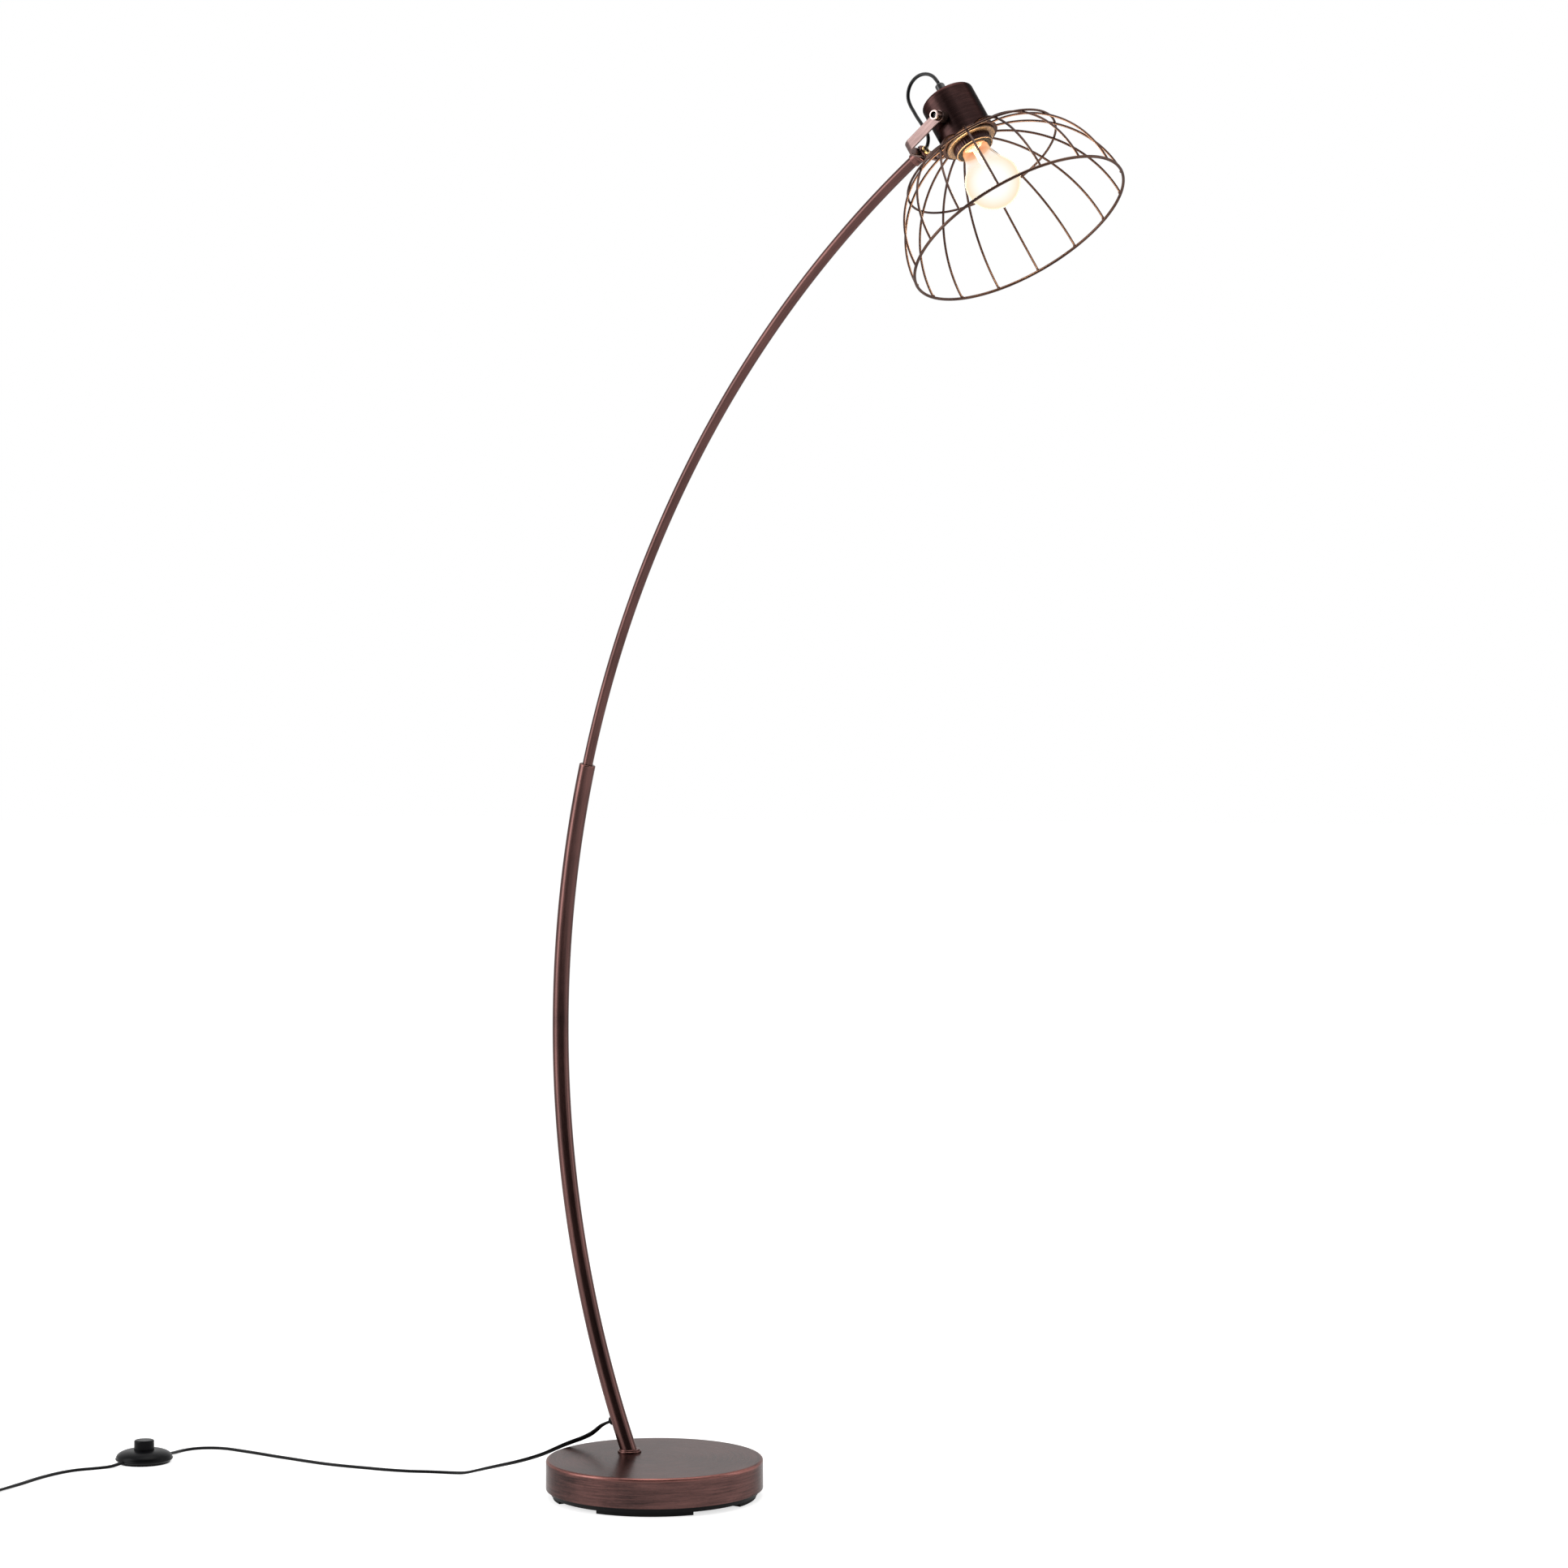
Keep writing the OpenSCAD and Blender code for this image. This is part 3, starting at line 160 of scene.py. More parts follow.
def shell_faces(rows, columns, ends):
    """Quads between neighbours of a grid whose columns close on themselves. Ends: ring closes the
    rows too, capped fans both end rows to an added point, and poles leaves them to be merged."""
    i = np.arange(rows if ends == "ring" else rows - 1)[:, None]
    j = np.arange(columns)[None, :]
    after_i, after_j = (i + 1) % rows, (j + 1) % columns
    quads = np.stack([i * columns + j, after_i * columns + j, after_i * columns + after_j,
                      i * columns + after_j], axis=-1).reshape(-1, 4)
    if ends != "capped":
        return quads.tolist()
    j, after = j.ravel(), after_j.ravel()
    last = (rows - 1) * columns
    centre = rows * columns
    first_fan = np.stack([j, after, np.full_like(j, centre)], axis=-1)
    last_fan = np.stack([last + after, last + j, np.full_like(j, centre + 1)], axis=-1)
    return quads.tolist() + first_fan.tolist() + last_fan.tolist()


def make_piece(name, shells, body, material, instead_of=(), place=None, crease=35):
    """Mesh of closed shells, each a grid, its grain and its ends. A shell whose signed volume comes
    out negative is turned round, so that faces point outwards, and points that meet are merged."""
    mesh = bpy.data.meshes.new(name)
    points, faces, grains, count = [], [], [], 0
    for grid, grain, ends in shells:
        rows, columns = grid.shape[:2]
        flat, flat_grain = grid.reshape(-1, 3), grain.reshape(-1, 3)
        if ends == "capped":
            flat = np.vstack([flat, grid[0].mean(axis=0), grid[-1].mean(axis=0)])
            flat_grain = np.vstack([flat_grain, grain[0].mean(axis=0), grain[-1].mean(axis=0)])
        own = shell_faces(rows, columns, ends)
        three = np.array([f[k:k + 2] + f[:1] for f in own for k in range(1, len(f) - 1)])
        a, b, c = (flat[three[:, k]] - flat.mean(axis=0) for k in (2, 0, 1))
        if np.einsum("ij,ij->", a, np.cross(b, c)) < 0:
            own = [f[::-1] for f in own]
        points.append(flat)
        grains.append(flat_grain)
        faces += [[count + v for v in f] for f in own]
        count += len(flat)
    mesh.from_pydata(np.vstack(points).tolist(), [], faces)
    attribute = mesh.attributes.new("grain", "FLOAT_VECTOR", "POINT")
    attribute.data.foreach_set("vector", np.vstack(grains).astype(np.float32).ravel())
    work = bmesh.new()
    work.from_mesh(mesh)
    bmesh.ops.remove_doubles(work, verts=work.verts, dist=1e-7)
    work.to_mesh(mesh)
    work.free()
    if place is not None:
        mesh.transform(place)
    mesh.shade_smooth()
    mesh.set_sharp_from_angle(angle=radians(crease))
    mesh.materials.append(material)
    piece = bpy.data.objects.new(name, mesh)
    scene.collection.objects.link(piece)
    if body:
        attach(piece, body)
    if instead_of:
        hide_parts(*instead_of)
    return piece


def feed(material, source, node, socket):
    """Links an output to a node's input."""
    material.node_tree.links.new(source, node.inputs[socket])


def add(material, kind, inputs=None, **settings):
    """Adds a shader node. An input given a socket is linked to it, and any other is set."""
    made = material.node_tree.nodes.new(kind)
    for key, value in settings.items():
        setattr(made, key, value)
    for key, value in (inputs or {}).items():
        if isinstance(value, bpy.types.NodeSocket):
            feed(material, value, made, key)
        else:
            made.inputs[key].default_value = value
    return made


def principled(name, values):
    """New material whose one Principled shader has its sockets set to these values."""
    material = bpy.data.materials.new(name)
    material.use_nodes = True
    shader = material.node_tree.nodes["Principled BSDF"]
    for key, value in values.items():
        shader.inputs[key].default_value = value
    return material, shader


def ramp(material, source, stops):
    """Colour ramp over a socket from (place, colour) stops. The first two set the two stops that a
    new ramp has, and the rest are added."""
    made = add(material, "ShaderNodeValToRGB", {"Fac": source})
    for k, (place, colour) in enumerate(stops):
        stop = made.color_ramp.elements[k] if k < 2 else made.color_ramp.elements.new(place)
        stop.position = place
        stop.color = (*colour, 1)
    return made.outputs["Color"]


def rough_and_raised(material, shader, where, scale, rough, height):
    """Fine noise over a coordinate that drives roughness between two values and a bump."""
    noise = add(material, "ShaderNodeTexNoise", {"Vector": where, "Scale": scale, "Detail": 4.0})
    spread = add(material, "ShaderNodeMapRange",
                 {"Value": noise.outputs[0], "From Min": 0.3, "From Max": 0.7, "To Min": rough[0],
                  "To Max": rough[1]})
    feed(material, spread.outputs[0], shader, "Roughness")
    bump = add(material, "ShaderNodeBump",
               {"Height": noise.outputs[0], "Strength": 0.5, "Distance": height})
    feed(material, bump.outputs[0], shader, "Normal")
    return noise.outputs[0]


def vinyl(name, colour, rough, height, gloss=0.1):
    """Moulded or extruded black plastic: an even dark colour that greys a little in patches, with
    a fine eggshell surface and a low gloss."""
    material, shader = principled(name, {"Specular IOR Level": gloss})
    where = add(material, "ShaderNodeTexCoord").outputs["Object"]
    rough_and_raised(material, shader, where, 1800.0, rough, height)
    patches = add(material, "ShaderNodeTexNoise", {"Vector": where, "Scale": 35.0, "Detail": 3.0})
    tone = ramp(material, patches.outputs[0],
                [(0.35, colour), (0.7, tuple(1.4 * c + 0.001 for c in colour))])
    feed(material, tone, shader, "Base Color")
    return material


def flat_cord_outline(width, thickness, groove):
    """Two half circles joined by flats that dip along the middle, where the cores meet: on a flat
    the height falls by the groove times the square of one minus the squared share of its length."""
    r, c = thickness / 2, (width - thickness) / 2
    round_end = np.radians(np.linspace(-90, 90, 9))
    right = np.stack([c + r * np.cos(round_end), r * np.sin(round_end)], axis=1)
    share = np.linspace(1, -1, 9)[1:-1]
    top = np.stack([c * share, r - groove * (1 - share**2) ** 2], axis=1)
    return np.vstack([right, top, -right, -top])


cord_outline = flat_cord_outline(cord_width, cord_thickness, cord_groove)
cord_vinyl = vinyl("cord_vinyl", (0.0025, 0.0025, 0.003), (0.3, 0.42), 0.00004)
exit_point = on_arc(grommet_along, lower_tube_r + grommet_proud)
exit_way = (exit_point - arc_centre).normalized()
run_1_end = Vector((switch_at.x, switch_at.y + switch_port, port_z))
run_1_route = [exit_point, exit_point + cord_width * exit_way,
               exit_point + 2 * cord_width * exit_way,
               (-0.0881, 0.0084, 0.0699), (-0.093, 0.0082, 0.0663), (-0.0976, 0.0074, 0.0625),
               (-0.1038, 0.0054, 0.058), (-0.113, 0.0015, 0.0531), (-0.1215, -0.004, 0.0493),
               (-0.1295, -0.0105, 0.0454), (-0.137, -0.018, 0.041), (-0.1465, -0.0275, 0.0355),
               (-0.159, -0.038, 0.0302), (-0.175, -0.047, 0.025), (-0.196, -0.0515, 0.0192),
               (-0.2175, -0.0505, 0.0132), (-0.2365, -0.048, 0.0078), (-0.2535, -0.0478, 0.0034),
               (-0.272, -0.051, cord_lie), (-0.295, -0.062, cord_lie), (-0.32, -0.076, cord_lie),
               (-0.347, -0.086, cord_lie), (-0.374, -0.093, cord_lie), (-0.402, -0.1, cord_lie),
               (-0.43, -0.105, cord_lie), (-0.458, -0.107, cord_lie), (-0.486, -0.108, cord_lie),
               (-0.514, -0.109, cord_lie), (-0.542, -0.109, cord_lie), (-0.57, -0.11, cord_lie),
               (-0.595, -0.112, cord_lie), (-0.613, -0.12, cord_lie), (-0.625, -0.134, cord_lie),
               (-0.628, -0.152, cord_lie), (-0.622, -0.172, cord_lie + 0.001),
               run_1_end + Vector((0, 0.022, -0.0003)),
               run_1_end + Vector((0, port_straight, 0)), run_1_end]
run_1_path = curve_through(run_1_route)
twist_rows, twists = [16, 48, 64, 104, 128], [0, 1.2, 1.1, 0.5, 0]
run_1_twist = np.interp(np.arange(len(run_1_path)), twist_rows, twists)
cord_1 = make_piece("mains_cord_to_switch",
                    [(*sweep(run_1_path, cord_outline, (0, 0, 1), run_1_twist), "capped")],
                    "stand", cord_vinyl, ["cord_run_1"])

run_2_start = Vector((switch_at.x, switch_at.y - switch_port, port_z))
turns = np.arange(coil_turns * turn_steps + 1) / turn_steps
coil_reach = coil_r - coil_pitch * (turn_back - np.abs(turns - turn_back))
coil_path = np.stack([coil_at.x - coil_reach * np.cos(2 * pi * turns),
                      coil_at.y - coil_reach * np.sin(2 * pi * turns),
                      coil_at.z + coil_rise * np.clip((turns - turns_in) / 0.5, 0, 1)], axis=1)
run_2_route = [run_2_start, run_2_start - Vector((0, port_straight, 0)),
               (-0.616, -0.262, port_z - 0.0004),
               (-0.618, -0.277, cord_lie + 0.0006), (-0.626, -0.294, cord_lie),
               (-0.635, -0.313, cord_lie), (-0.638, -0.334, cord_lie), (-0.636, -0.358, cord_lie),
               (-0.631, -0.382, cord_lie), (-0.624, -0.406, cord_lie),
               (-0.617, -0.431, cord_lie + 0.0003), (-0.61, -0.456, cord_lie + 0.0007),
               (-0.603, -0.48, cord_lie + 0.0011), (-0.5985, -0.504, cord_lie + 0.0014),
               coil_path[0] + [0, 4 * cord_width, 0], coil_path[0] + [0, 2 * cord_width, 0]]
run_2_rows = curve_through(run_2_route)
tail_route = [coil_path[-1] - [0, 2 * cord_width, 0.0006],
              coil_path[-1] - [0, 4 * cord_width, 0.002],
              plug_at + Vector((0, cord_width, 0)), plug_at]
tail_rows = curve_through(tail_route)
run_2_path = np.vstack([run_2_rows, coil_path, tail_rows])
coil_from = len(run_2_rows)
tail_from = coil_from + len(coil_path)
edge_from, edge_by = coil_from - 45, coil_from - 5
on_edge = np.interp(np.arange(len(run_2_path)),
                    [edge_from, edge_by, tail_from, len(run_2_path) - 1], [0, pi / 2, pi / 2, pi])
cord_2 = make_piece("mains_cord_to_plug",
                    [(*sweep(run_2_path, cord_outline, (0, 0, 1), on_edge), "capped")],
                    "stand", cord_vinyl, ["cord_run_2", "cord_coil"])

# Round lead at the head: a 4 mm two-core lead in black vinyl.
# It bends up out of the hollow nipple, rises behind the cup and loops over into the cord grip,
# with enough slack for the shade to tilt.
lead_r = 0.002
arm_length = 1.643
yoke_drop = radians(2.5)
yoke_turn = radians(1.3)
shade_tilt = radians(31.5)
tip = on_arc(arm_length)
tip_rise = pi / 2 + foot_lean - arm_length / arc_radius - yoke_drop
tip_way = Vector((cos(tip_rise), 0, sin(tip_rise)))
at_tip = Matrix.Translation(tip) @ Matrix.Rotation(pi / 2 - tip_rise, 4, "Y") \
    @ Matrix.Rotation(yoke_turn, 4, "Z")
pivot = Vector(next(j for j in frame["joints"] if j["name"] == "head_tilt")["pos_m"])
at_head = Matrix.Translation(pivot) @ at_tip.to_3x3().to_4x4() \
    @ Matrix.Rotation(tip_rise - pi / 2 - shade_tilt, 4, "Y")
shade_way = (at_head.to_3x3() @ Vector((0, 0, 1))).normalized()
cup_z = -0.0255
cup_height = 0.056
grip_height = 0.018
grip_top = cup_z + cup_height + grip_height
nipple_end = 0.02055
lead_in = 0.008
lead_gap = 0.0002
lead_in_grip = 0.016
lead_start = tip + (nipple_end - lead_in + lead_gap) * tip_way
grip_out = pivot + grip_top * shade_way
lead_bend_from = 0.0135
lead_bend_r = 0.0172
lead_loop_r = 0.021
lead_stands = 0.005
tip_up = Vector((-sin(tip_rise), 0, cos(tip_rise)))
grip_along, grip_above = (grip_out - tip).dot(tip_way), (grip_out - tip).dot(tip_up)
turn = np.radians(np.arange(9, 91, 13.5))
lead_bend = np.stack([lead_bend_from + lead_bend_r * np.sin(turn),
                      lead_bend_r * (1 - np.cos(turn))], axis=1)
turn = np.radians(np.arange(180, 22, -22.5))
loop_from = np.array((grip_along - 2 * lead_loop_r, grip_above + lead_stands))
lead_loop = loop_from + lead_loop_r * np.stack([1 + np.cos(turn), np.sin(turn)], axis=1)
bend_to = np.array((lead_bend_from + lead_bend_r, lead_bend_r))
share = np.array((0.15, 0.35, 0.57, 0.79))
lead_rise = bend_to + (loop_from - bend_to) * np.stack([np.minimum(1, 1.6 * share), share],
                                                       axis=1)
lead_flat = np.vstack([lead_bend, lead_rise, lead_loop])
lead_lift = np.array(tip_up) + (0, (grip_out.y - arc_y) / grip_above, 0)
lead_rows = np.array(tip) + lead_flat[:, :1] * np.array(tip_way) + lead_flat[:, 1:] * lead_lift
lead_route = [lead_start, *lead_rows, grip_out + lead_stands * shade_way, grip_out,
              grip_out - lead_in_grip * shade_way]
lead_path = curve_through(lead_route)


def circle(r, n):
    """Outline of a circle: n points at even angles."""
    turn = np.arange(n) * 2 * pi / n
    return np.stack([r * np.cos(turn), r * np.sin(turn)], axis=1)


lead_vinyl = vinyl("lead_vinyl", (0.004, 0.004, 0.0045), (0.14, 0.22), 0.00002, gloss=0.25)
lead = make_piece("lead_at_head", [(*sweep(lead_path, circle(lead_r, 20), (0, 1, 0)), "capped")],
                  None, lead_vinyl, ["head_lead"])
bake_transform(lead)

# Base cover: a deep-drawn sheet steel pan, 250 mm across, turned over the weight.
# It is plated in antique bronze and brushed round and round, and its drawn edge carries a painted
# highlight. The plating is copper under a dark brown patina, which the brushing cuts into streaks.
sheet = 0.0012
cover_edge_r = 0.003
hem_r = 0.0004
base_r = base_high.x


def filleted(corners, steps=6):
    """Profile whose corners (r, z, fillet) are rounded: each arc goes from one tangent point to the
    other about a centre on the bisector, with one more point beyond each end of the arc."""
    p = np.array([c[:2] for c in corners], float)
    line = [p[0]]
    for k in range(1, len(p) - 1):
        back, on = p[k - 1] - p[k], p[k + 1] - p[k]
        back_length, on_length = np.linalg.norm(back), np.linalg.norm(on)
        back, on, r = back / back_length, on / on_length, corners[k][2]
        half = np.arccos(np.clip(back @ on, -1, 1)) / 2
        if r == 0 or half > pi / 2 - 0.01:
            line.append(p[k])
            continue
        reach = r / np.tan(half)
        centre = p[k] + (back + on) / np.linalg.norm(back + on) * r / np.sin(half)
        spin = np.linspace(-1, 1, steps + 1)[:, None] * (half - pi / 2)
        middle = (p[k] - centre) / np.linalg.norm(p[k] - centre)
        spin = spin * np.sign(back[0] * on[1] - back[1] * on[0])
        arc = centre + r * (middle * np.cos(spin) + middle[::-1] * (-1, 1) * np.sin(spin))
        if np.linalg.norm(arc[0] - (p[k] + back * reach)) > 1e-9:
            arc = arc[::-1]
        beyond = 0.4 * r
        if reach + 2 * beyond < back_length:
            line.append(p[k] + back * (reach + beyond))
        line += list(arc)
        if reach + 2 * beyond < on_length:
            line.append(p[k] + on * (reach + beyond))
    return np.array(line + [p[-1]])


def around(r, turn, z):
    """Grid of the points at a radius from Z, an angle round it and a height."""
    r, turn, z = np.broadcast_arrays(r, turn, z)
    return np.stack([r * np.cos(turn), r * np.sin(turn), z], axis=-1)


def revolve(profile, steps, squeeze=0.04):
    """Grid of a profile (r, z) turned about Z, and a grain for brushing round and round: a circle
    squeezed to a fraction of the profile's widest, raised by the distance along the profile."""
    turn = np.arange(steps) * 2 * pi / steps
    small = squeeze * profile[:, 0].max()
    return (around(profile[:, :1], turn, profile[:, 1:]),
            around(small, turn, gone_along(profile)[:, None]))


def turned_piece(name, profile, steps, body, material, node, place=None):
    """Piece of one revolved profile, in place of one CAD node. A profile that starts on the axis
    ends at two poles, and any other closes on itself."""
    ends = "poles" if profile[0, 0] == 0 else "ring"
    return make_piece(name, [(*revolve(profile, steps), ends)], body, material, [node],
                      place)


def bronze(name, patina=0.5, rough=(0.24, 0.42), streak=420.0, relief=0.00002, calm=1.0,
           rubbed=(0.125, 0.056, 0.050), edge=0.47, lacquer=0.3):
    """Brushed antique bronze plating. Two noises on the grain, hair lines and wide streaks, and
    one in space add up to a share, which a ramp colours from near-black brown through bronze to the
    rubbed colour; a calm finish spreads the ramp. Hair lines also set roughness and a bump. Edge
    is how much a glancing view reflects, and lacquer the weight of a clear coat."""
    material, shader = principled(name, {
        "Metallic": 1.0, "Specular Tint": (1.06 * edge, 0.99 * edge, 0.98 * edge, 1),
        "Coat Weight": lacquer, "Coat Roughness": 0.2, "Coat IOR": 1.45})
    grain = add(material, "ShaderNodeAttribute", attribute_name="grain").outputs["Vector"]
    hair = rough_and_raised(material, shader, grain, 4200.0, rough, relief)
    wide = add(material, "ShaderNodeTexNoise", {"Vector": grain, "Scale": streak, "Detail": 5.0,
                                                "Roughness": 0.6}).outputs[0]
    space = add(material, "ShaderNodeTexCoord").outputs["Object"]
    cloud = add(material, "ShaderNodeTexNoise", {"Vector": space, "Scale": 14.0,
                                                 "Detail": 2.0}).outputs[0]
    fine = add(material, "ShaderNodeMath", {0: hair, 1: 0.35}, operation="MULTIPLY").outputs[0]
    both = add(material, "ShaderNodeMath", {0: wide, 1: 0.5, 2: fine},
               operation="MULTIPLY_ADD").outputs[0]
    whole = add(material, "ShaderNodeMath", {0: cloud, 1: 0.35, 2: both},
                operation="MULTIPLY_ADD").outputs[0]
    mean, spread = 0.6, 0.4 * calm
    even = add(material, "ShaderNodeMapRange",
               {"Value": whole, "From Min": mean - spread, "From Max": mean + spread,
                "To Min": 0.2, "To Max": 1.0}, clamp=True).outputs[0]
    dark_brown, brown = (0.012, 0.0055, 0.005), (0.026, 0.012, 0.0112)
    tone = ramp(material, even, [(patina - 0.15, dark_brown), (patina + 0.25, rubbed),
                                 (patina, brown)])
    feed(material, tone, shader, "Base Color")
    return material


def painted_light_zones(material, reach, stops):
    """Multiplies a plating's colour by a ramp over the distance along a turned profile, as a share
    of the reach, so that painted highlights make edges paler and painted shade makes hollows
    darker."""
    grain = add(material, "ShaderNodeAttribute", attribute_name="grain").outputs["Vector"]
    along = add(material, "ShaderNodeSeparateXYZ", {0: grain}).outputs[2]
    share = add(material, "ShaderNodeMapRange", {"Value": along, "From Max": reach}).outputs[0]
    shader = material.node_tree.nodes["Principled BSDF"]
    tone = shader.inputs["Base Color"].links[0].from_socket
    both = add(material, "ShaderNodeMix", {0: 1.0, 6: tone, 7: ramp(material, share, stops)},
               data_type="RGBA", blend_type="MULTIPLY").outputs[2]
    feed(material, both, shader, "Base Color")


bronze_round = bronze("bronze_brushed_round")
# Painted highlight: a paler band round the cover's rounded top edge.
plain, painted_edge_highlight = (1, 1, 1), (2.6, 2.3, 2.2)
painted_light_zones(bronze_round, 0.2, [(0.605, plain), (0.642, plain), (0.616, painted_edge_highlight),
                                 (0.630, painted_edge_highlight)])
cover_profile = filleted([(0, base_top, 0), (base_r, base_top, cover_edge_r),
                          (base_r, base_low.z, hem_r), (base_r - sheet, base_low.z, hem_r),
                          (base_r - sheet, base_top - sheet, cover_edge_r - sheet),
                          (0, base_top - sheet, 0)])
turned_piece("base_cover_brushed", cover_profile, 256, "stand", bronze_round,
             "base_cover")

# Weight, tray and feet: a cast cement disc in a black moulded tray, on four rubber arcs.
# The tray shows as a dark line under the cover, set back from its edge. The foot bolt comes up
# through the weight with a washer under its head.
nodes = frame["nodes"]


def cast(name, dark, light, rough, scale, metallic=0.0):
    """Plain cast or plated matter: mottled between two colours, with a grainy surface."""
    material, shader = principled(name, {"Metallic": metallic})
    where = add(material, "ShaderNodeTexCoord").outputs["Object"]
    pit_depth = 0.00005
    grainy = rough_and_raised(material, shader, where, scale, rough, pit_depth)
    tone = ramp(material, grainy, [(0.3, dark), (0.7, light)])
    feed(material, tone, shader, "Base Color")
    return material


def finish_node(material, *names):
    """Gives CAD nodes a material in place of their own."""
    for name in names:
        slots = nodes[name].data.materials
        if not slots:
            slots.append(material)
        for k in range(len(slots)):
            slots[k] = material


tray_plastic = vinyl("tray_plastic", (0.008, 0.008, 0.0085), (0.4, 0.55), 0.00006)
rubber = vinyl("rubber", (0.010, 0.010, 0.010), (0.6, 0.8), 0.00008)
zinc = cast("zinc_plating", (0.42, 0.43, 0.45), (0.66, 0.66, 0.65), (0.25, 0.4), 700.0, 1.0)
cement = cast("cement", (0.42, 0.41, 0.39), (0.62, 0.61, 0.58), (0.8, 0.95), 260.0)
finish_node(cement, "counterweight")
finish_node(tray_plastic, "base_tray")
finish_node(rubber, "foot_pads")
finish_node(zinc, "foot_bolt", "foot_washer", "tube_bush", "pivot_studs")

# Foot collar: a turned ring with two beads that covers the tube's joint with the base.
bronze_small = bronze("bronze_turned", patina=0.45, rough=(0.18, 0.32), streak=900.0,
                      rubbed=(0.19, 0.084, 0.072))
collar_r = 0.01375
collar_h = 0.004
collar_top = base_top + collar_h
collar_step = base_top + 0.55 * collar_h
collar_hollow = base_top + 0.3 * collar_h
bead_r = collar_r - 0.0015
collar_bore_r = 0.006
collar_profile = filleted([(0, base_top, 0), (collar_r, base_top, 0.0003),
                           (collar_r, collar_step, 0.0010), (bead_r, collar_step, 0.0003),
                           (bead_r, collar_top, 0.0008), (collar_bore_r, collar_top, 0.0003),
                           (collar_bore_r, collar_hollow, 0), (0, collar_hollow, 0)], 5)
at_foot = Matrix.Translation((foot.x, foot.y, 0))
turned_piece("foot_collar_turned", collar_profile, 96, "stand", bronze_small,
             "foot_collar", at_foot)

# Arc: two steel tubes bent to one radius, the upper one sleeved into the lower, both plated.
# They are brushed along their length, so the patina lies in long soft streaks. A cap with a
# rounded edge closes the lower tube round the upper one.
bronze_long = bronze("bronze_brushed_along", patina=0.48, rough=(0.18, 0.28), streak=220.0,
                     relief=0.00001, calm=1.8, rubbed=(0.15, 0.066, 0.058))
upper_tube_r = 0.006
lower_wall = 0.0012
upper_wall = 0.001
lower_start = -0.002
lower_end = 0.816
upper_start = 0.736
upper_finish = arm_length + 0.004


def arc_path(start, finish, steps):
    """Centre line of the arc between two distances from its foot: a circle's arc whose angle falls
    by the distance over the radius."""
    angle = pi + foot_lean - np.linspace(start, finish, steps) / arc_radius
    return np.stack([arc_centre.x + arc_radius * np.cos(angle), np.full(steps, arc_y),
                     arc_centre.z + arc_radius * np.sin(angle)], axis=1)


def pipe(path, r, wall, columns):
    """Closed wall of a tube along a path: the outer skin there and the inner skin back."""
    outer, grain = sweep(path, circle(r, columns), (0, 1, 0), squeeze=0.02)
    inner, inner_grain = sweep(path, circle(r - wall, columns), (0, 1, 0), squeeze=0.02)
    return np.concatenate([outer, inner[::-1]]), np.concatenate([grain, inner_grain[::-1]]), "ring"


lower_path = arc_path(lower_start, lower_end, 220)
upper_path = arc_path(upper_start, upper_finish, 260)
make_piece("lower_tube_brushed", [pipe(lower_path, lower_tube_r, lower_wall, 64)], "stand",
           bronze_long, ["lower_tube"])
make_piece("upper_tube_brushed", [pipe(upper_path, upper_tube_r, upper_wall, 56)], "stand",
           bronze_long, ["upper_tube"])
cap_h = 0.002
cap_tongue = 0.003
tube_room = 0.0001
round_upper_r = upper_tube_r + tube_room
cap_profile = filleted([(round_upper_r, -cap_tongue, 0), (lower_tube_r, -tube_room, 0),
                        (lower_tube_r, cap_h, 0.0012), (round_upper_r, cap_h, 0.0003),
                        (round_upper_r, -cap_tongue, 0)], 5)[:-1]
cap_at = Matrix.Translation(on_arc(lower_end)) \
    @ Matrix.Rotation(lower_end / arc_radius - foot_lean, 4, "Y")
turned_piece("tube_cap_turned", cap_profile, 80, "stand", bronze_small, "tube_cap",
             cap_at)

# Grommet and inner leads: a black rubber eye that lets the flat cord into the lower tube.
# Inside, the flat cord is spliced to the round lead that runs up through both tubes.
finish_node(rubber, "cord_grommet")
finish_node(cord_vinyl, "cord_inlet", "arm_lead")
finish_node(tray_plastic, "lead_splice")

# Ferrule: a turned collar on the end of the upper tube, with a flange that the yoke sits on.
# The tube goes into it from below, and the nipple screws into its top.
ferrule_r = 0.0075
ferrule_length = 0.012
ferrule_flange_r = 0.009
ferrule_bore_r = 0.005
ferrule_step = ferrule_length - 0.0025
socket_end = 0.003
bore_start = 0.004
ferrule_profile = filleted([(round_upper_r, 0, 0), (ferrule_r, 0, 0.0008),
                            (ferrule_r, ferrule_step, 0.0003),
                            (ferrule_flange_r, ferrule_step, 0.0006),
                            (ferrule_flange_r, ferrule_length, 0.0006),
                            (ferrule_bore_r, ferrule_length, 0.0002),
                            (ferrule_bore_r, bore_start, 0), (round_upper_r, socket_end, 0),
                            (round_upper_r, 0, 0)], 5)[:-1]
turned_piece("arm_ferrule_turned", ferrule_profile, 80, "stand", bronze_small,
             "arm_ferrule", at_tip)

# Yoke: one strip of steel, 12 by 2.5 mm, bent to a U with splayed arms and parallel round ears.
# Its edges are tumbled, so they catch the light. It is clamped on the nipple between the ferrule
# and a toothed washer under a thin nut.
strap_w = 0.012
strap_t = 0.0025
seat = 0.00005
strap_mid = ferrule_length + seat + strap_t / 2
bend_r = 0.012
yoke_reach = 0.0575
yoke_half = 0.038
yoke_splay = radians(7)
ear_length = 0.009
ear_r = strap_w / 2 + 0.0002
swell_from = 0.046
swell_to = 0.052
bronze_strap = bronze("bronze_strap", patina=0.42, rough=(0.22, 0.34), streak=520.0, calm=1.7,
                      rubbed=(0.22, 0.145, 0.134))


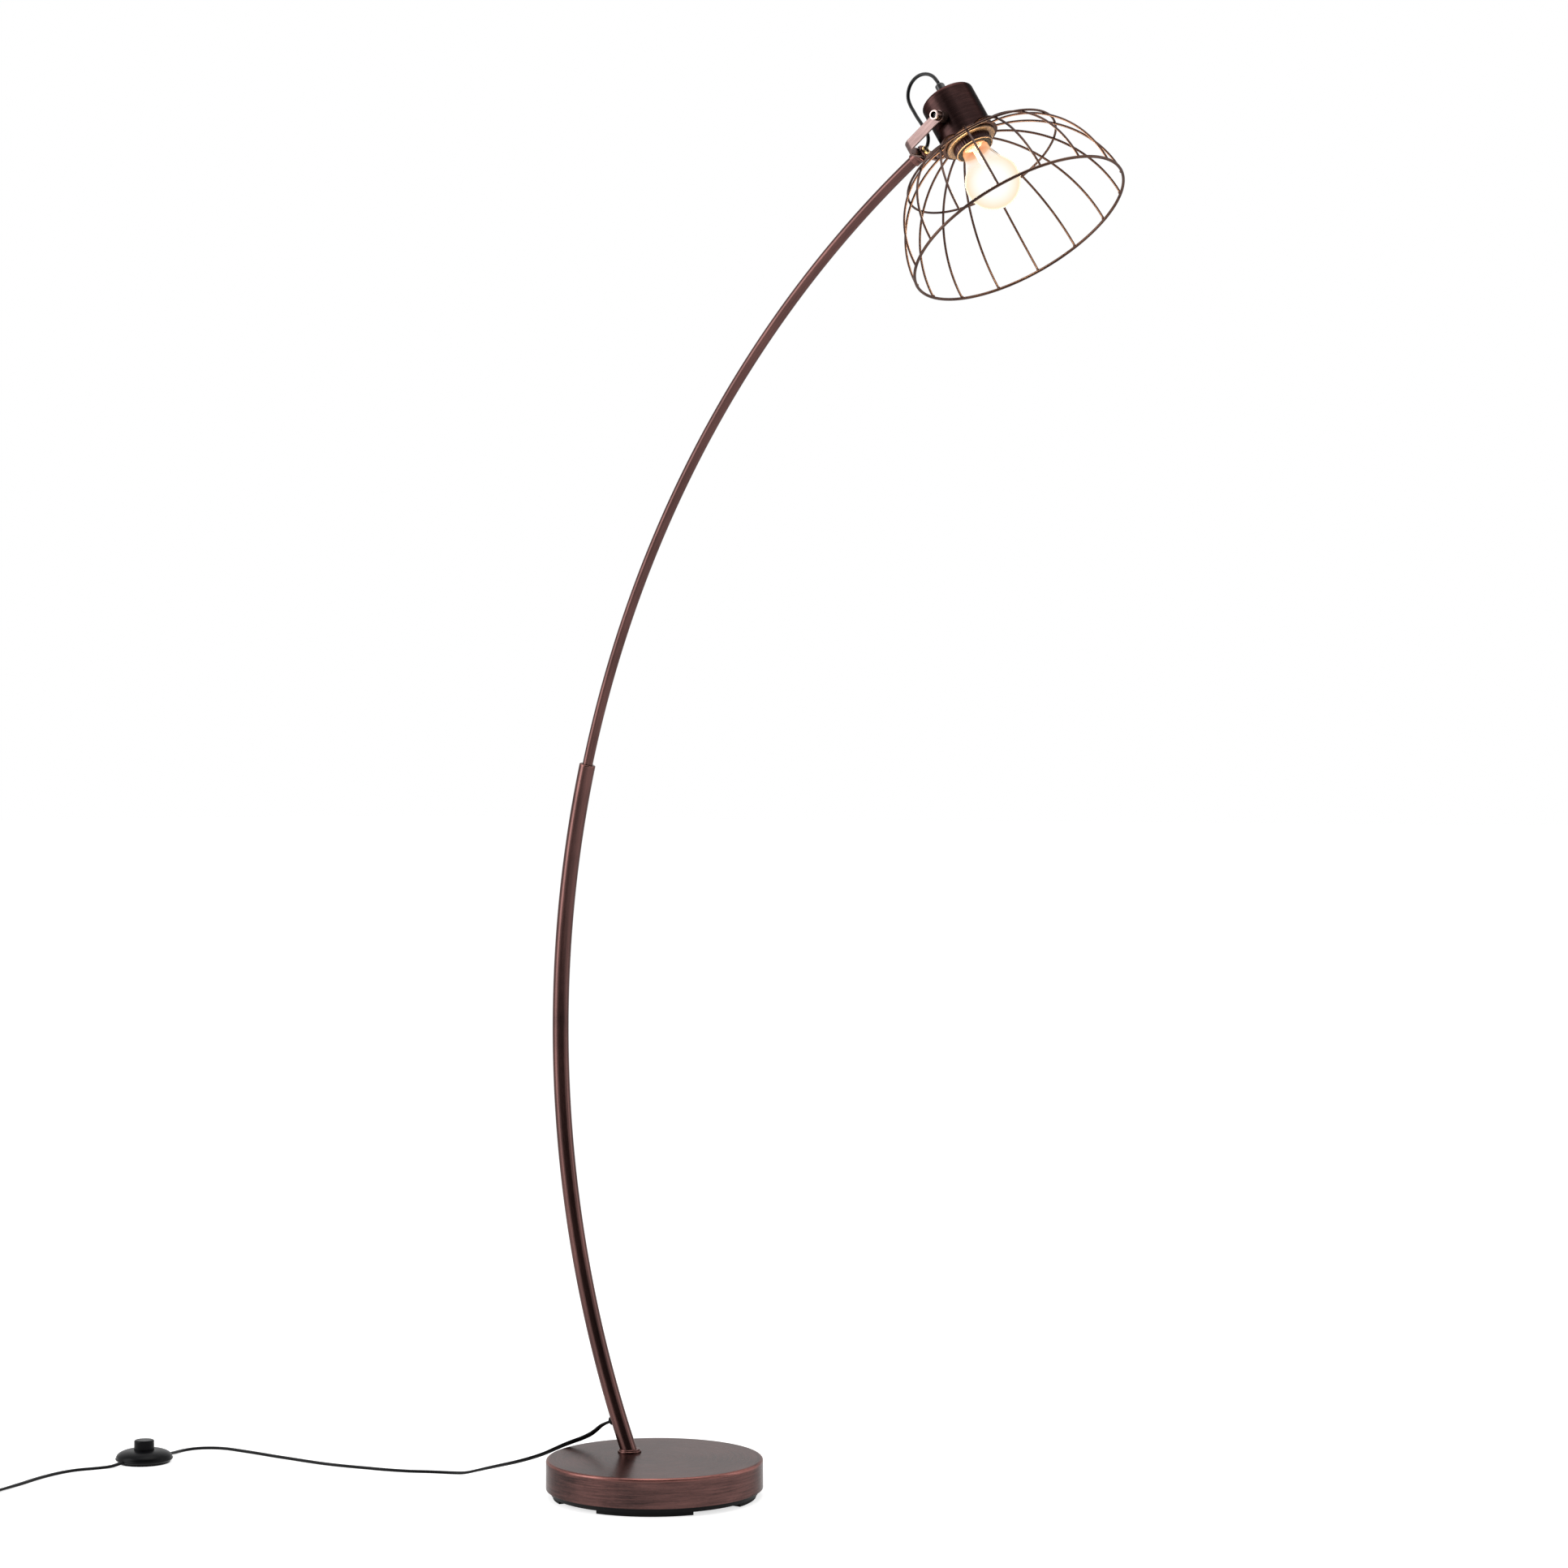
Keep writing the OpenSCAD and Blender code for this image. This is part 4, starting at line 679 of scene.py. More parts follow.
def strap_line():
    """Middle line of half the strap, along Y and Z: out along the base, round the bend, up the
    splayed arm and straight up the ear."""
    rise = yoke_reach - ear_length
    arm = (rise - bend_r * (1 - sin(yoke_splay))) / cos(yoke_splay)
    base = yoke_half - arm * sin(yoke_splay) - bend_r * cos(yoke_splay)
    turn = np.linspace(0, pi / 2 - yoke_splay, 20)
    bend = np.stack([base + bend_r * np.sin(turn), bend_r * (1 - np.cos(turn))], axis=1)
    arm_rows = np.linspace(bend[-1], (yoke_half, rise), 24)[1:-1]
    end = yoke_reach + ear_r
    tip_rows = end - ear_r * (1 - np.sin(np.linspace(0, pi / 2, 16)))
    ear = np.stack([np.full(17, yoke_half), np.append(rise + 0.0008, tip_rows)], axis=1)
    return np.vstack([[(0, 0), (base * 0.6, 0)], bend, arm_rows, ear])


half = strap_line()
strap_rows = np.vstack([half[:0:-1] * (-1, 1), half])
strap_path = np.stack([np.zeros(len(strap_rows)), strap_rows[:, 0], strap_rows[:, 1]], axis=1)
to_end = np.clip((yoke_reach + ear_r - strap_rows[:, 1]) / ear_r, 0.02, 1)
swell = np.interp(strap_rows[:, 1], [swell_from, swell_to], [1, ear_r / (strap_w / 2)])
strap_widths = np.sqrt(1 - (1 - to_end) ** 2) * swell
edge = filleted([(0, -strap_t / 2, 0), (strap_w / 2, -strap_t / 2, 0.0005),
                 (strap_w / 2, strap_t / 2, 0.0005), (0, strap_t / 2, 0)], 4)
strap_outline = np.vstack([edge, edge[-2:0:-1] * (-1, 1)])
strap_grid, strap_grain = sweep(strap_path, strap_outline, (-1, 0, 0), pi / 2, strap_widths)
make_piece("yoke_strap", [(strap_grid, strap_grain, "capped")], "stand", bronze_strap,
           ["yoke"], at_tip @ Matrix.Translation((0, 0, strap_mid)), crease=50)
black_steel = cast("black_steel", (0.02, 0.018, 0.017), (0.045, 0.04, 0.037), (0.35, 0.5), 900.0,
                   1.0)
finish_node(black_steel, "yoke_washer")

# Yoke nut and nipple: a thin hexagon nut on a hollow threaded nipple that the lead comes out of.
# Both are lit gold by the bulb. The thread is a fine helix cut in the nipple's wall.
washer_t = 0.0008
nut_z = strap_mid + strap_t / 2 + seat + washer_t + seat
nut_af = 0.014
nut_h = 0.003
nut_chamfer = 0.0008
nipple_r = 0.00495
nipple_bore_r = 0.0037
nipple_start = ferrule_length - 0.007
thread_pitch = 0.001
thread_depth = 0.0003


def hexagon_nut(across, height, bore, columns=96):
    """Rows of a hexagon prism whose corners are cut by a cone at both faces: the radius is the
    lesser of the hexagon's at that angle and the cone's at that height."""
    turn = np.arange(columns) * 2 * pi / columns
    hexagon = across / 2 / np.cos((turn + pi / 6) % (pi / 3) - pi / 6)
    cut = nut_chamfer * np.array([0, 0.5, 1])
    levels = np.concatenate([cut, height - cut[::-1]])
    cone = across / 2 * np.array([0.96, 1.03, 1.16, 1.16, 1.03, 0.96])
    outer = around(np.minimum(hexagon, cone[:, None]), turn, levels[:, None])
    inner = around(bore, turn, np.array([[height], [0]]))
    grid = np.concatenate([outer, inner])
    return grid, grid * (0.2, 0.2, 1), "ring"


def threaded(r, bore, start, finish, pitch, depth, columns=48):
    """Hollow stud whose radius falls by the depth in a wave that winds once round for each pitch:
    the wave's phase is the height over the pitch less the share of a turn."""
    rows_a_pitch = 8
    count = int((finish - start) / pitch * rows_a_pitch) + 1
    z = np.linspace(start, finish, count)[:, None]
    turn = np.arange(columns)[None, :] * 2 * pi / columns
    fade = np.clip(np.minimum(z - start, finish - z) / pitch, 0, 1)
    skin = r - depth * (0.5 + 0.5 * np.cos(2 * pi * z / pitch - turn)) * fade
    grid = np.concatenate([around(skin, turn, z), around(bore, turn, z)[::-1]])
    return grid, grid * (0.2, 0.2, 1), "ring"


make_piece("yoke_nut_hexagon", [hexagon_nut(nut_af, nut_h, nipple_r + seat)], "stand",
           bronze_small, ["yoke_nut"], at_tip @ Matrix.Translation((0, 0, nut_z)))
brass = cast("brass", (0.55, 0.36, 0.15), (0.80, 0.58, 0.28), (0.22, 0.38), 900.0, 1.0)
nipple = threaded(nipple_r, nipple_bore_r, nipple_start, nipple_end, thread_pitch, thread_depth)
make_piece("yoke_nipple_threaded", [nipple], "stand", brass, ["yoke_nipple"], at_tip)

# Pivot: a stud through each ear, held by a sleeve nut with an open end and spaced off the cup.
# The sleeve's end is faced bright, and its hole is painted near black as painted shade, so it shows
# as a pale ring round a dark hole.
sleeve_r = 0.0054
sleeve_face = yoke_half + strap_t / 2 + seat
sleeve_length = 0.009
sleeve_bore_r = 0.0035
sleeve_floor = sleeve_length - 0.004
sleeve_profile = filleted([(0, sleeve_floor, 0), (sleeve_bore_r, sleeve_floor, 0),
                           (sleeve_bore_r, sleeve_length, 0.0003),
                           (sleeve_r, sleeve_length, 0.0007), (sleeve_r, 0, 0.0003), (0, 0, 0)], 5)
sleeves = []
for side in (pi / 2, -pi / 2):
    grid, grain = revolve(sleeve_profile, 64)
    out = np.array(Matrix.Rotation(side, 3, "X"))
    sleeves.append((grid @ out.T + np.array((0, -np.sign(side) * sleeve_face, 0)), grain, "poles"))
faced_bronze_shaded_hole = bronze("bronze_faced_shaded_hole", patina=0.34, rough=(0.2, 0.3), streak=900.0, relief=0.000004,
                       rubbed=(0.62, 0.46, 0.42), edge=0.2, lacquer=0.0)
# Painted shade: the sleeve's hole is made near black on its wall and its floor.
painted_light_zones(faced_bronze_shaded_hole, 0.02, [(0.36, (0.01, 0.01, 0.01)), (0.51, (0.26, 0.22, 0.21)),
                                   (0.385, plain), (0.47, plain)])
make_piece("pivot_sleeve_nuts", sleeves, "head", faced_bronze_shaded_hole, ["pivot_nuts"], at_head)
spacer_plastic = vinyl("spacer_plastic", (0.022, 0.012, 0.010), (0.3, 0.45), 0.00003)
finish_node(spacer_plastic, "pivot_spacers")

# Lamp cup: a drawn steel cup, 60 mm across, closed at the top with a soft edge.
# It hides the lamp holder and carries the shade. Like the base it is brushed round and round,
# but its patina is left darker.
cup_r = 0.03
cup_edge_r = 0.0035
cup_top = cup_z + cup_height
entry_r = 0.00505
bronze_cup = bronze("bronze_cup", patina=0.6, rough=(0.24, 0.32), streak=500.0, relief=0.000006,
                    calm=2.6, edge=0.32, lacquer=0.1)
# Painted highlight: a paler band round the cup's rounded top edge.
painted_cup_highlight = (1.9, 1.7, 1.65)
painted_light_zones(bronze_cup, 0.1, [(0.205, plain), (0.285, plain), (0.225, painted_cup_highlight),
                               (0.262, painted_cup_highlight)])
cup_profile = filleted([(entry_r, cup_top, 0.0002), (cup_r, cup_top, cup_edge_r),
                        (cup_r, cup_z, hem_r), (cup_r - sheet, cup_z, hem_r),
                        (cup_r - sheet, cup_top - sheet, cup_edge_r - sheet),
                        (entry_r, cup_top - sheet, 0)])
turned_piece("lamp_cup_brushed", cup_profile, 192, "head", bronze_cup, "lamp_cup",
             at_head)

# Cord grip and lamp holder: black thermoset mouldings, with a brass screw shell inside.
# The grip clamps the lead on top of the cup. The holder's skirt comes down through the shade's
# hub, and its mouth has a rounded lip.
thermoset = vinyl("thermoset", (0.007, 0.006, 0.0055), (0.34, 0.48), 0.00003, gloss=0.06)
hub_t = 0.002
hub_z = cup_z - hub_t
skirt_r = 0.02
skirt_mouth = hub_z - 0.0115
skirt_top = cup_z + 0.027
shoulder_r = cup_r - sheet - 0.001
shoulder_low = cup_z + seat
shoulder_high = cup_z + 0.00205
mouth_r = 0.0153
mouth_top = skirt_mouth + 0.0025
skirt_bore_r = 0.01415
skirt_profile = filleted([(mouth_r, skirt_mouth, 0.0005), (skirt_r, skirt_mouth, 0.0014),
                          (skirt_r, shoulder_low, 0), (shoulder_r, shoulder_low, 0.0003),
                          (shoulder_r, shoulder_high, 0.0003), (skirt_r, shoulder_high, 0),
                          (skirt_r, skirt_top, 0.0005), (skirt_bore_r, skirt_top, 0),
                          (skirt_bore_r, mouth_top, 0), (mouth_r, mouth_top, 0),
                          (mouth_r, skirt_mouth, 0)])[:-1]
turned_piece("holder_skirt_moulded", skirt_profile, 128, "head", thermoset,
             "holder_skirt", at_head)
grip_plastic = vinyl("grip_plastic", (0.006, 0.006, 0.006), (0.2, 0.3), 0.00002, gloss=0.45)
finish_node(grip_plastic, "cord_grip")
finish_node(thermoset, "holder_cap")
porcelain = cast("porcelain", (0.72, 0.70, 0.65), (0.84, 0.82, 0.78), (0.3, 0.5), 300.0)
finish_node(porcelain, "holder_core", "switch_block")
finish_node(brass, "screw_shell", "centre_contact")

# Shade ring: a flanged ring that screws up the skirt and clamps the shade's hub to the cup.
# Its band has fine upright ribs for the fingers and a dark plating. Its flange faces the bulb and
# is painted pale gold, a painted highlight of the bulb's light.
flange_r = 0.0285
flange_t = 0.003
band_r = 0.0216
rib_count = 44
rib_height = 0.00035


def ribbed_ring(profile, columns, low, high):
    """Revolved profile whose radius grows by a rib's height times the square of a sine round the
    ring, between two heights, where the profile is the band's outer face."""
    grid, grain = revolve(profile, columns)
    turn = np.arange(columns) * 2 * pi / columns
    r, z = profile[:, 0], profile[:, 1]
    outer = (np.abs(r - band_r) < 1e-6) & (z > low) & (z < high)
    swell = 1 + outer[:, None] * rib_height / band_r * np.sin(rib_count * turn / 2) ** 2
    grid[..., :2] *= swell[..., None]
    return grid, grain, "ring"


# Painted highlight: the flange's pale gold stands for the bulb's light on it.
bronze_ring_painted_glow = bronze("bronze_ring_painted_glow", patina=0.44, rough=(0.36, 0.48), streak=900.0,
                     rubbed=(0.36, 0.235, 0.148))
bronze_band = bronze("bronze_band", patina=0.56, rough=(0.3, 0.42), streak=900.0)
ring_top = hub_z - seat
band_top = ring_top - flange_t
ring_bore_r = skirt_r + seat
ribs_low, ribs_high = skirt_mouth + 0.001, band_top - 0.0006
levels = np.linspace(skirt_mouth + 0.0012, band_top - 0.0008, 10)
ring_profile = np.vstack([
    filleted([(ring_bore_r, ring_top, 0), (flange_r, ring_top, 0.0005),
              (flange_r, band_top, 0.001), (band_r + 0.0003, band_top, 0)], 5),
    np.stack([np.full_like(levels, band_r), levels[::-1]], axis=1),
    filleted([(band_r, skirt_mouth + 0.0009, 0), (band_r, skirt_mouth, 0.0005),
              (ring_bore_r, skirt_mouth, 0)], 5)])
ring_shell = ribbed_ring(ring_profile, rib_count * 8, ribs_low, ribs_high)
ring = make_piece("shade_ring_ribbed", [ring_shell], "head", bronze_ring_painted_glow, ["shade_ring"])
ring.data.materials.append(bronze_band)
centres = np.empty(len(ring.data.polygons) * 3)
ring.data.polygons.foreach_get("center", centres)
centres = centres.reshape(-1, 3)
outside = np.hypot(centres[:, 0], centres[:, 1]) > skirt_r + 0.0012
below_flange = centres[:, 2] < band_top - 0.0004
above_mouth = centres[:, 2] > skirt_mouth + 0.0006
on_band = outside & below_flange & above_mouth
ring.data.polygons.foreach_set("material_index", on_band.astype(np.int32))
ring.data.transform(at_head)

# Wire cage: sixteen ribs bent to one radius, welded to a hub plate, a middle ring outside them
# and a thicker rim. It is resistance-welded, so each crossing has a small bead, and then plated
# like the rest.
cage_r = 0.124
hub_r = 0.033
hub_mid = hub_z + hub_t / 2
rim_z = hub_mid - sqrt(cage_r**2 - hub_r**2)
rib_wire_r = 0.00125
rim_wire_r = 0.0016
ring_wire_r = 0.00125
ring_height = radians(45.5)
ring_bite = 0.0003
ring_out = cage_r + rib_wire_r + ring_wire_r - ring_bite
rim_bead = (0.0018, 0.0016)
ring_bead = (0.0014, 0.0014)
cage_turn = radians(4.5)
ribs = 16
rib_on_hub = 0.001
rib_end = np.arccos((hub_r - rib_on_hub) / cage_r)
bronze_wire = bronze("bronze_wire", patina=0.54, rough=(0.32, 0.42), streak=90.0, relief=0.000004,
                     calm=1.6, rubbed=(0.185, 0.096, 0.060))


def hoop(r, z, wire, rows, columns):
    """Ring of round wire: the wire's circle carried round the axis."""
    turn = np.arange(rows) * 2 * pi / rows
    section = circle(wire, columns)
    grid = around(r + section[:, 0], turn[:, None], z + section[:, 1])
    return grid, grid * (0.08, 0.08, 1), "ring"


def rib(turn):
    """One rib: a round wire along a circle's arc in an upright plane, from rim to hub."""
    rise = np.linspace(0, rib_end, 56)
    flat = cage_r * np.cos(rise)
    path = np.stack([flat * cos(turn), flat * sin(turn), rim_z + cage_r * np.sin(rise)], axis=1)
    return (*sweep(path, circle(rib_wire_r, 14), (-sin(turn), cos(turn), 0)), "capped")


def bead(centre, across, tall):
    """Weld bead: an upright ellipsoid from its half width and half height."""
    lat = np.linspace(-pi / 2, pi / 2, 7)[:, None]
    turn = np.arange(10)[None, :] * 2 * pi / 10
    grid = around(across * np.cos(lat), turn, tall * np.sin(lat)) + centre
    return grid, grid * 0.3, "poles"


rim_weld_r = cage_r - 0.0006
rim_weld_z = rim_z + 0.0013
ring_weld_out = ring_out - 0.0012
ring_weld_z = rim_z + ring_weld_out * sin(ring_height)
cage = [hoop(cage_r, rim_z, rim_wire_r, 256, 20),
        hoop(ring_out * cos(ring_height), rim_z + ring_out * sin(ring_height), ring_wire_r, 224,
             16)]
for turn in cage_turn + np.arange(ribs) * 2 * pi / ribs:
    way = np.array((cos(turn), sin(turn), 0))
    cage.append(rib(turn))
    cage.append(bead(way * rim_weld_r + (0, 0, rim_weld_z), *rim_bead))
    cage.append(bead(way * ring_weld_out * cos(ring_height) + (0, 0, ring_weld_z), *ring_bead))
hub_bore_r = skirt_r + 0.0002
hub_profile = filleted([(hub_bore_r, hub_z, 0), (hub_r, hub_z, 0.0008),
                        (hub_r, hub_z + hub_t, 0.0008), (hub_bore_r, hub_z + hub_t, 0),
                        (hub_bore_r, hub_z, 0)], 5)[:-1]
cage.append((*revolve(hub_profile, 128), "ring"))
make_piece("wire_cage_welded", cage, "head", bronze_wire, ["wire_cage"], at_head)

# Bulb: a clear pear bulb of 60 mm with a nickelled screw cap, a pressed stem and a bent filament.
# It is lit. The glass glows white in its middle, tan towards its outline and orange up the neck,
# where it is nearly clear.
globe_r = 0.03
glass_t = 0.0008
neck_r = 0.015
neck_curve_r = 0.038
cap_r = 0.0133
core_t = 0.006
contact_h = 0.0035
bulb_cap_length = 0.028
bulb_cap_z = skirt_top - core_t - contact_h - bulb_cap_length
neck_taper = 0.004
neck_rise = sqrt((globe_r + neck_curve_r) ** 2 - (neck_r + neck_curve_r) ** 2)
globe_z = bulb_cap_z - neck_taper - neck_rise
touch = atan2(neck_rise, neck_r + neck_curve_r)


def bulb_line(inset):
    """Half outline from the tip: a globe, a hollow curve that touches it, and the neck's taper,
    whose end goes into the cap."""
    r, c = globe_r - inset, neck_curve_r + inset
    q = np.linspace(-pi / 2, touch, 40)
    globe = np.stack([r * np.cos(q), r * np.sin(q)], axis=1)
    globe[0, 0] = 0
    q = np.linspace(touch, 0, 16)[1:]
    neck = np.stack([neck_r + neck_curve_r - c * np.cos(q), neck_rise - c * np.sin(q)], axis=1)
    end_r, top = cap_r - 0.001 - inset, neck_rise + neck_taper
    return np.vstack([globe, neck, [(end_r, top), (end_r, top + 0.003)]])


glass_profile = np.vstack([bulb_line(0), bulb_line(glass_t)[::-1]])
glass_grid, glass_grain = revolve(glass_profile, 96)
glass_grain[..., 2] = glass_profile[:, 1:]
glass, glass_shader = principled("bulb_glass_lit", {
    "Base Color": (0, 0, 0, 1), "Roughness": 0.04, "Specular IOR Level": 0.02})
glass_place = add(glass, "ShaderNodeSeparateXYZ",
                  {0: add(glass, "ShaderNodeAttribute", attribute_name="grain").outputs["Vector"]})
up_bulb = add(glass, "ShaderNodeMapRange",
              {"Value": glass_place.outputs[2], "From Min": -globe_r,
               "From Max": neck_rise + neck_taper}).outputs[0]
edge_on = add(glass, "ShaderNodeLayerWeight", {"Blend": 0.5}).outputs["Facing"]
globe_glow = ramp(glass, edge_on, [
    (0.0, (1, 1, 1)), (1.0, (0.34, 0.20, 0.13)), (0.15, (1, 0.99, 0.94)),
    (0.36, (0.98, 0.89, 0.74)), (0.58, (0.94, 0.76, 0.56)), (0.85, (0.82, 0.58, 0.40))])
neck_glow = ramp(glass, up_bulb, [(0.6, (1, 0.90, 0.76)), (1.0, (0.80, 0.18, 0.03)),
                                  (0.8, (1, 0.78, 0.60)), (0.9, (1, 0.55, 0.28))])
is_neck = ramp(glass, up_bulb, [(0.5, (0, 0, 0)), (0.72, (1, 1, 1))])
glow_colour = add(glass, "ShaderNodeMix", {0: is_neck, 6: globe_glow, 7: neck_glow},
                  data_type="RGBA").outputs[2]
film = ramp(glass, up_bulb, [(0.0, (0.93,) * 3), (1.0, (0.97,) * 3), (0.45, (0.93,) * 3),
                             (0.74, (0.13,) * 3), (0.84, (0.12,) * 3), (0.92, (0.6,) * 3)])
rim_line = add(glass, "ShaderNodeMath", {0: edge_on, 1: 7.0}, operation="POWER").outputs[0]
cover = add(glass, "ShaderNodeMath", {0: film, 1: rim_line}, operation="MAXIMUM").outputs[0]
seen = add(glass, "ShaderNodeLightPath").outputs["Is Camera Ray"]
thrown = ramp(glass, up_bulb, [(0.45, (1, 0.84, 0.56)), (0.72, (0.02, 0.011, 0.005))])
shown = add(glass, "ShaderNodeMix", {0: seen, 6: thrown, 7: glow_colour},
            data_type="RGBA").outputs[2]
strength = add(glass, "ShaderNodeMapRange",
               {"Value": seen, "To Min": 28.0, "To Max": 1.04}).outputs[0]
feed(glass, shown, glass_shader, "Emission Color")
feed(glass, strength, glass_shader, "Emission Strength")
feed(glass, cover, glass_shader, "Alpha")
at_globe = at_head @ Matrix.Translation((0, 0, globe_z))
bulb = make_piece("bulb_glass_blown", [(glass_grid, glass_grain, "poles")], "head", glass,
                  ["bulb_glass"], at_globe, crease=60)
bulb.visible_shadow = False
nickel = cast("nickel", (0.60, 0.59, 0.57), (0.78, 0.77, 0.75), (0.16, 0.3), 600.0, 1.0)
finish_node(nickel, "bulb_cap", "plug_pins")
stem_glass = principled("stem_glass", {
    "Base Color": (1, 0.9, 0.75, 1), "Roughness": 0.05, "Alpha": 0.5,
    "Emission Color": (1, 0.55, 0.2, 1), "Emission Strength": 0.6})[0]
finish_node(stem_glass, "bulb_stem")
filament = principled("filament", {
    "Base Color": (1, 0.8, 0.5, 1), "Emission Color": (1, 0.85, 0.6, 1),
    "Emission Strength": 8.0})[0]
finish_node(filament, "bulb_filament")
bulb_lamp = bpy.data.objects.new("bulb_light", bpy.data.lights.new("bulb_light", "POINT"))
bulb_lamp.data.energy = 0.3
bulb_lamp.data.color = (1, 0.68, 0.32)
bulb_lamp.data.shadow_soft_size = 0.027
bulb_lamp.location = at_head @ Vector((0, 0, globe_z))
scene.collection.objects.link(bulb_lamp)
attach(bulb_lamp, "head")

# Foot switch, coil tie and plug: black mouldings on the cord.
# The switch is a low dome, moulded with a brim and two ports that fit the flat cord, and has a
# wide round button that travels 3 mm.
switch_plastic = vinyl("switch_plastic", (0.0025, 0.0025, 0.003), (0.26, 0.38), 0.00004,
                       gloss=0.08)
finish_node(switch_plastic, "switch_floor", "switch_button", "coil_tie", "plug_body")
dome_r = (switch_high.x - switch_low.x) / 2
dome_wall = 0.002
dome_foot_r = dome_r - 0.001
brim_z = 0.005
brim_top = brim_z + 0.0014
eye_r = 0.0123
port_room = 0.0006
port_reach = 0.05


def dome_line(inset):
    """Outline of the dome from its brim to the button's eye: a quarter ellipse, set in by the
    wall on the inside."""
    rise = np.linspace(0, pi / 2, 25)
    start_r = dome_foot_r - 1.3 * inset
    flat_r = eye_r + 0.0008
    ellipse = np.stack([flat_r + (start_r - flat_r) * np.cos(rise),
                        brim_top + (switch_high.z - inset - brim_top) * np.sin(rise)], axis=1)
    return np.vstack([ellipse, [(eye_r, switch_high.z - inset)]])


brim = filleted([(dome_r - 0.0035, switch_low.z, 0), (dome_r - 0.0023, switch_low.z, 0.0005),
                 (dome_r - 0.0004, brim_z - 0.001, 0.0006), (dome_r, brim_z, 0.0005),
                 (dome_foot_r, brim_top, 0)])
dome_profile = np.vstack([brim[:-1], dome_line(0), dome_line(dome_wall)[::-1]])
at_switch = Matrix.Translation((switch_at.x, switch_at.y, 0))
dome = turned_piece("switch_dome_moulded", dome_profile, 144, "stand", switch_plastic,
                    "switch_dome", at_switch)
port_mesh = bpy.data.meshes.new("port")
port_rows = np.array([[switch_at.x, switch_at.y + y, port_z] for y in (-port_reach, 0, port_reach)])
port_outline = flat_cord_outline(cord_width + port_room, cord_thickness + port_room, 0)
port_grid = sweep(port_rows, port_outline, (0, 0, 1))[0]
port_points = np.vstack([port_grid.reshape(-1, 3), port_rows[0], port_rows[-1]])
port_mesh.from_pydata(port_points.tolist(), [], shell_faces(3, len(port_outline), "capped"))
port = bpy.data.objects.new("port", port_mesh)
scene.collection.objects.link(port)
ports = dome.modifiers.new("ports", "BOOLEAN")
ports.object = port
ports.operation = "DIFFERENCE"
ports.solver = "EXACT"
bpy.context.view_layer.update()
cut_dome = dome.evaluated_get(bpy.context.evaluated_depsgraph_get())
moulded = bpy.data.meshes.new_from_object(cut_dome)
dome.modifiers.clear()
dome.data = moulded
moulded.set_sharp_from_angle(angle=radians(35))
bpy.data.objects.remove(port)

# Return spring: four turns of 1 mm spring steel, zinc plated, round a spigot of the floor plate.
# The button rests on it and presses it 3 mm shorter.
spring_low, spring_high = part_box("switch_spring")
spring_wire_r = 0.0005
spring_r = (spring_high.x - spring_low.x) / 2 - spring_wire_r
spring_turns = 4
wind = np.linspace(0, spring_turns * 2 * pi, spring_turns * 24 + 1)
climb = np.linspace(spring_low.z + spring_wire_r, spring_high.z - spring_wire_r, len(wind))
coils = around(spring_r, wind, climb) + (switch_at.x, switch_at.y, 0)
spring = make_piece("switch_spring_wound",
                    [(*sweep(coils, circle(spring_wire_r, 12), (0, 0, 1)), "capped")],
                    "stand", zinc, ["switch_spring"])
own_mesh(spring)

# Floor and light: a white floor without an end, a white surround and soft lamps.
# The floor and the surround are white to the camera and in reflections. A dim card stands before
# the lamp, where the photographer would be, and shows only in reflections.


def seen_or_mirrored(material):
    """One for rays from the camera, from gloss or through glass, and nought for all others."""
    rays = add(material, "ShaderNodeLightPath")
    total = rays.outputs["Is Camera Ray"]
    for other in ("Is Glossy Ray", "Is Transmission Ray"):
        total = add(material, "ShaderNodeMath", {0: total, 1: rays.outputs[other]}, operation="ADD",
                    use_clamp=True).outputs[0]
    return total


def stage_plane(name, corners, material):
    """Flat stage piece from its four corners."""
    mesh = bpy.data.meshes.new(name)
    mesh.from_pydata([tuple(c) for c in corners], [], [(0, 1, 2, 3)])
    mesh.materials.append(material)
    plane = bpy.data.objects.new(name, mesh)
    scene.collection.objects.link(plane)
    return plane


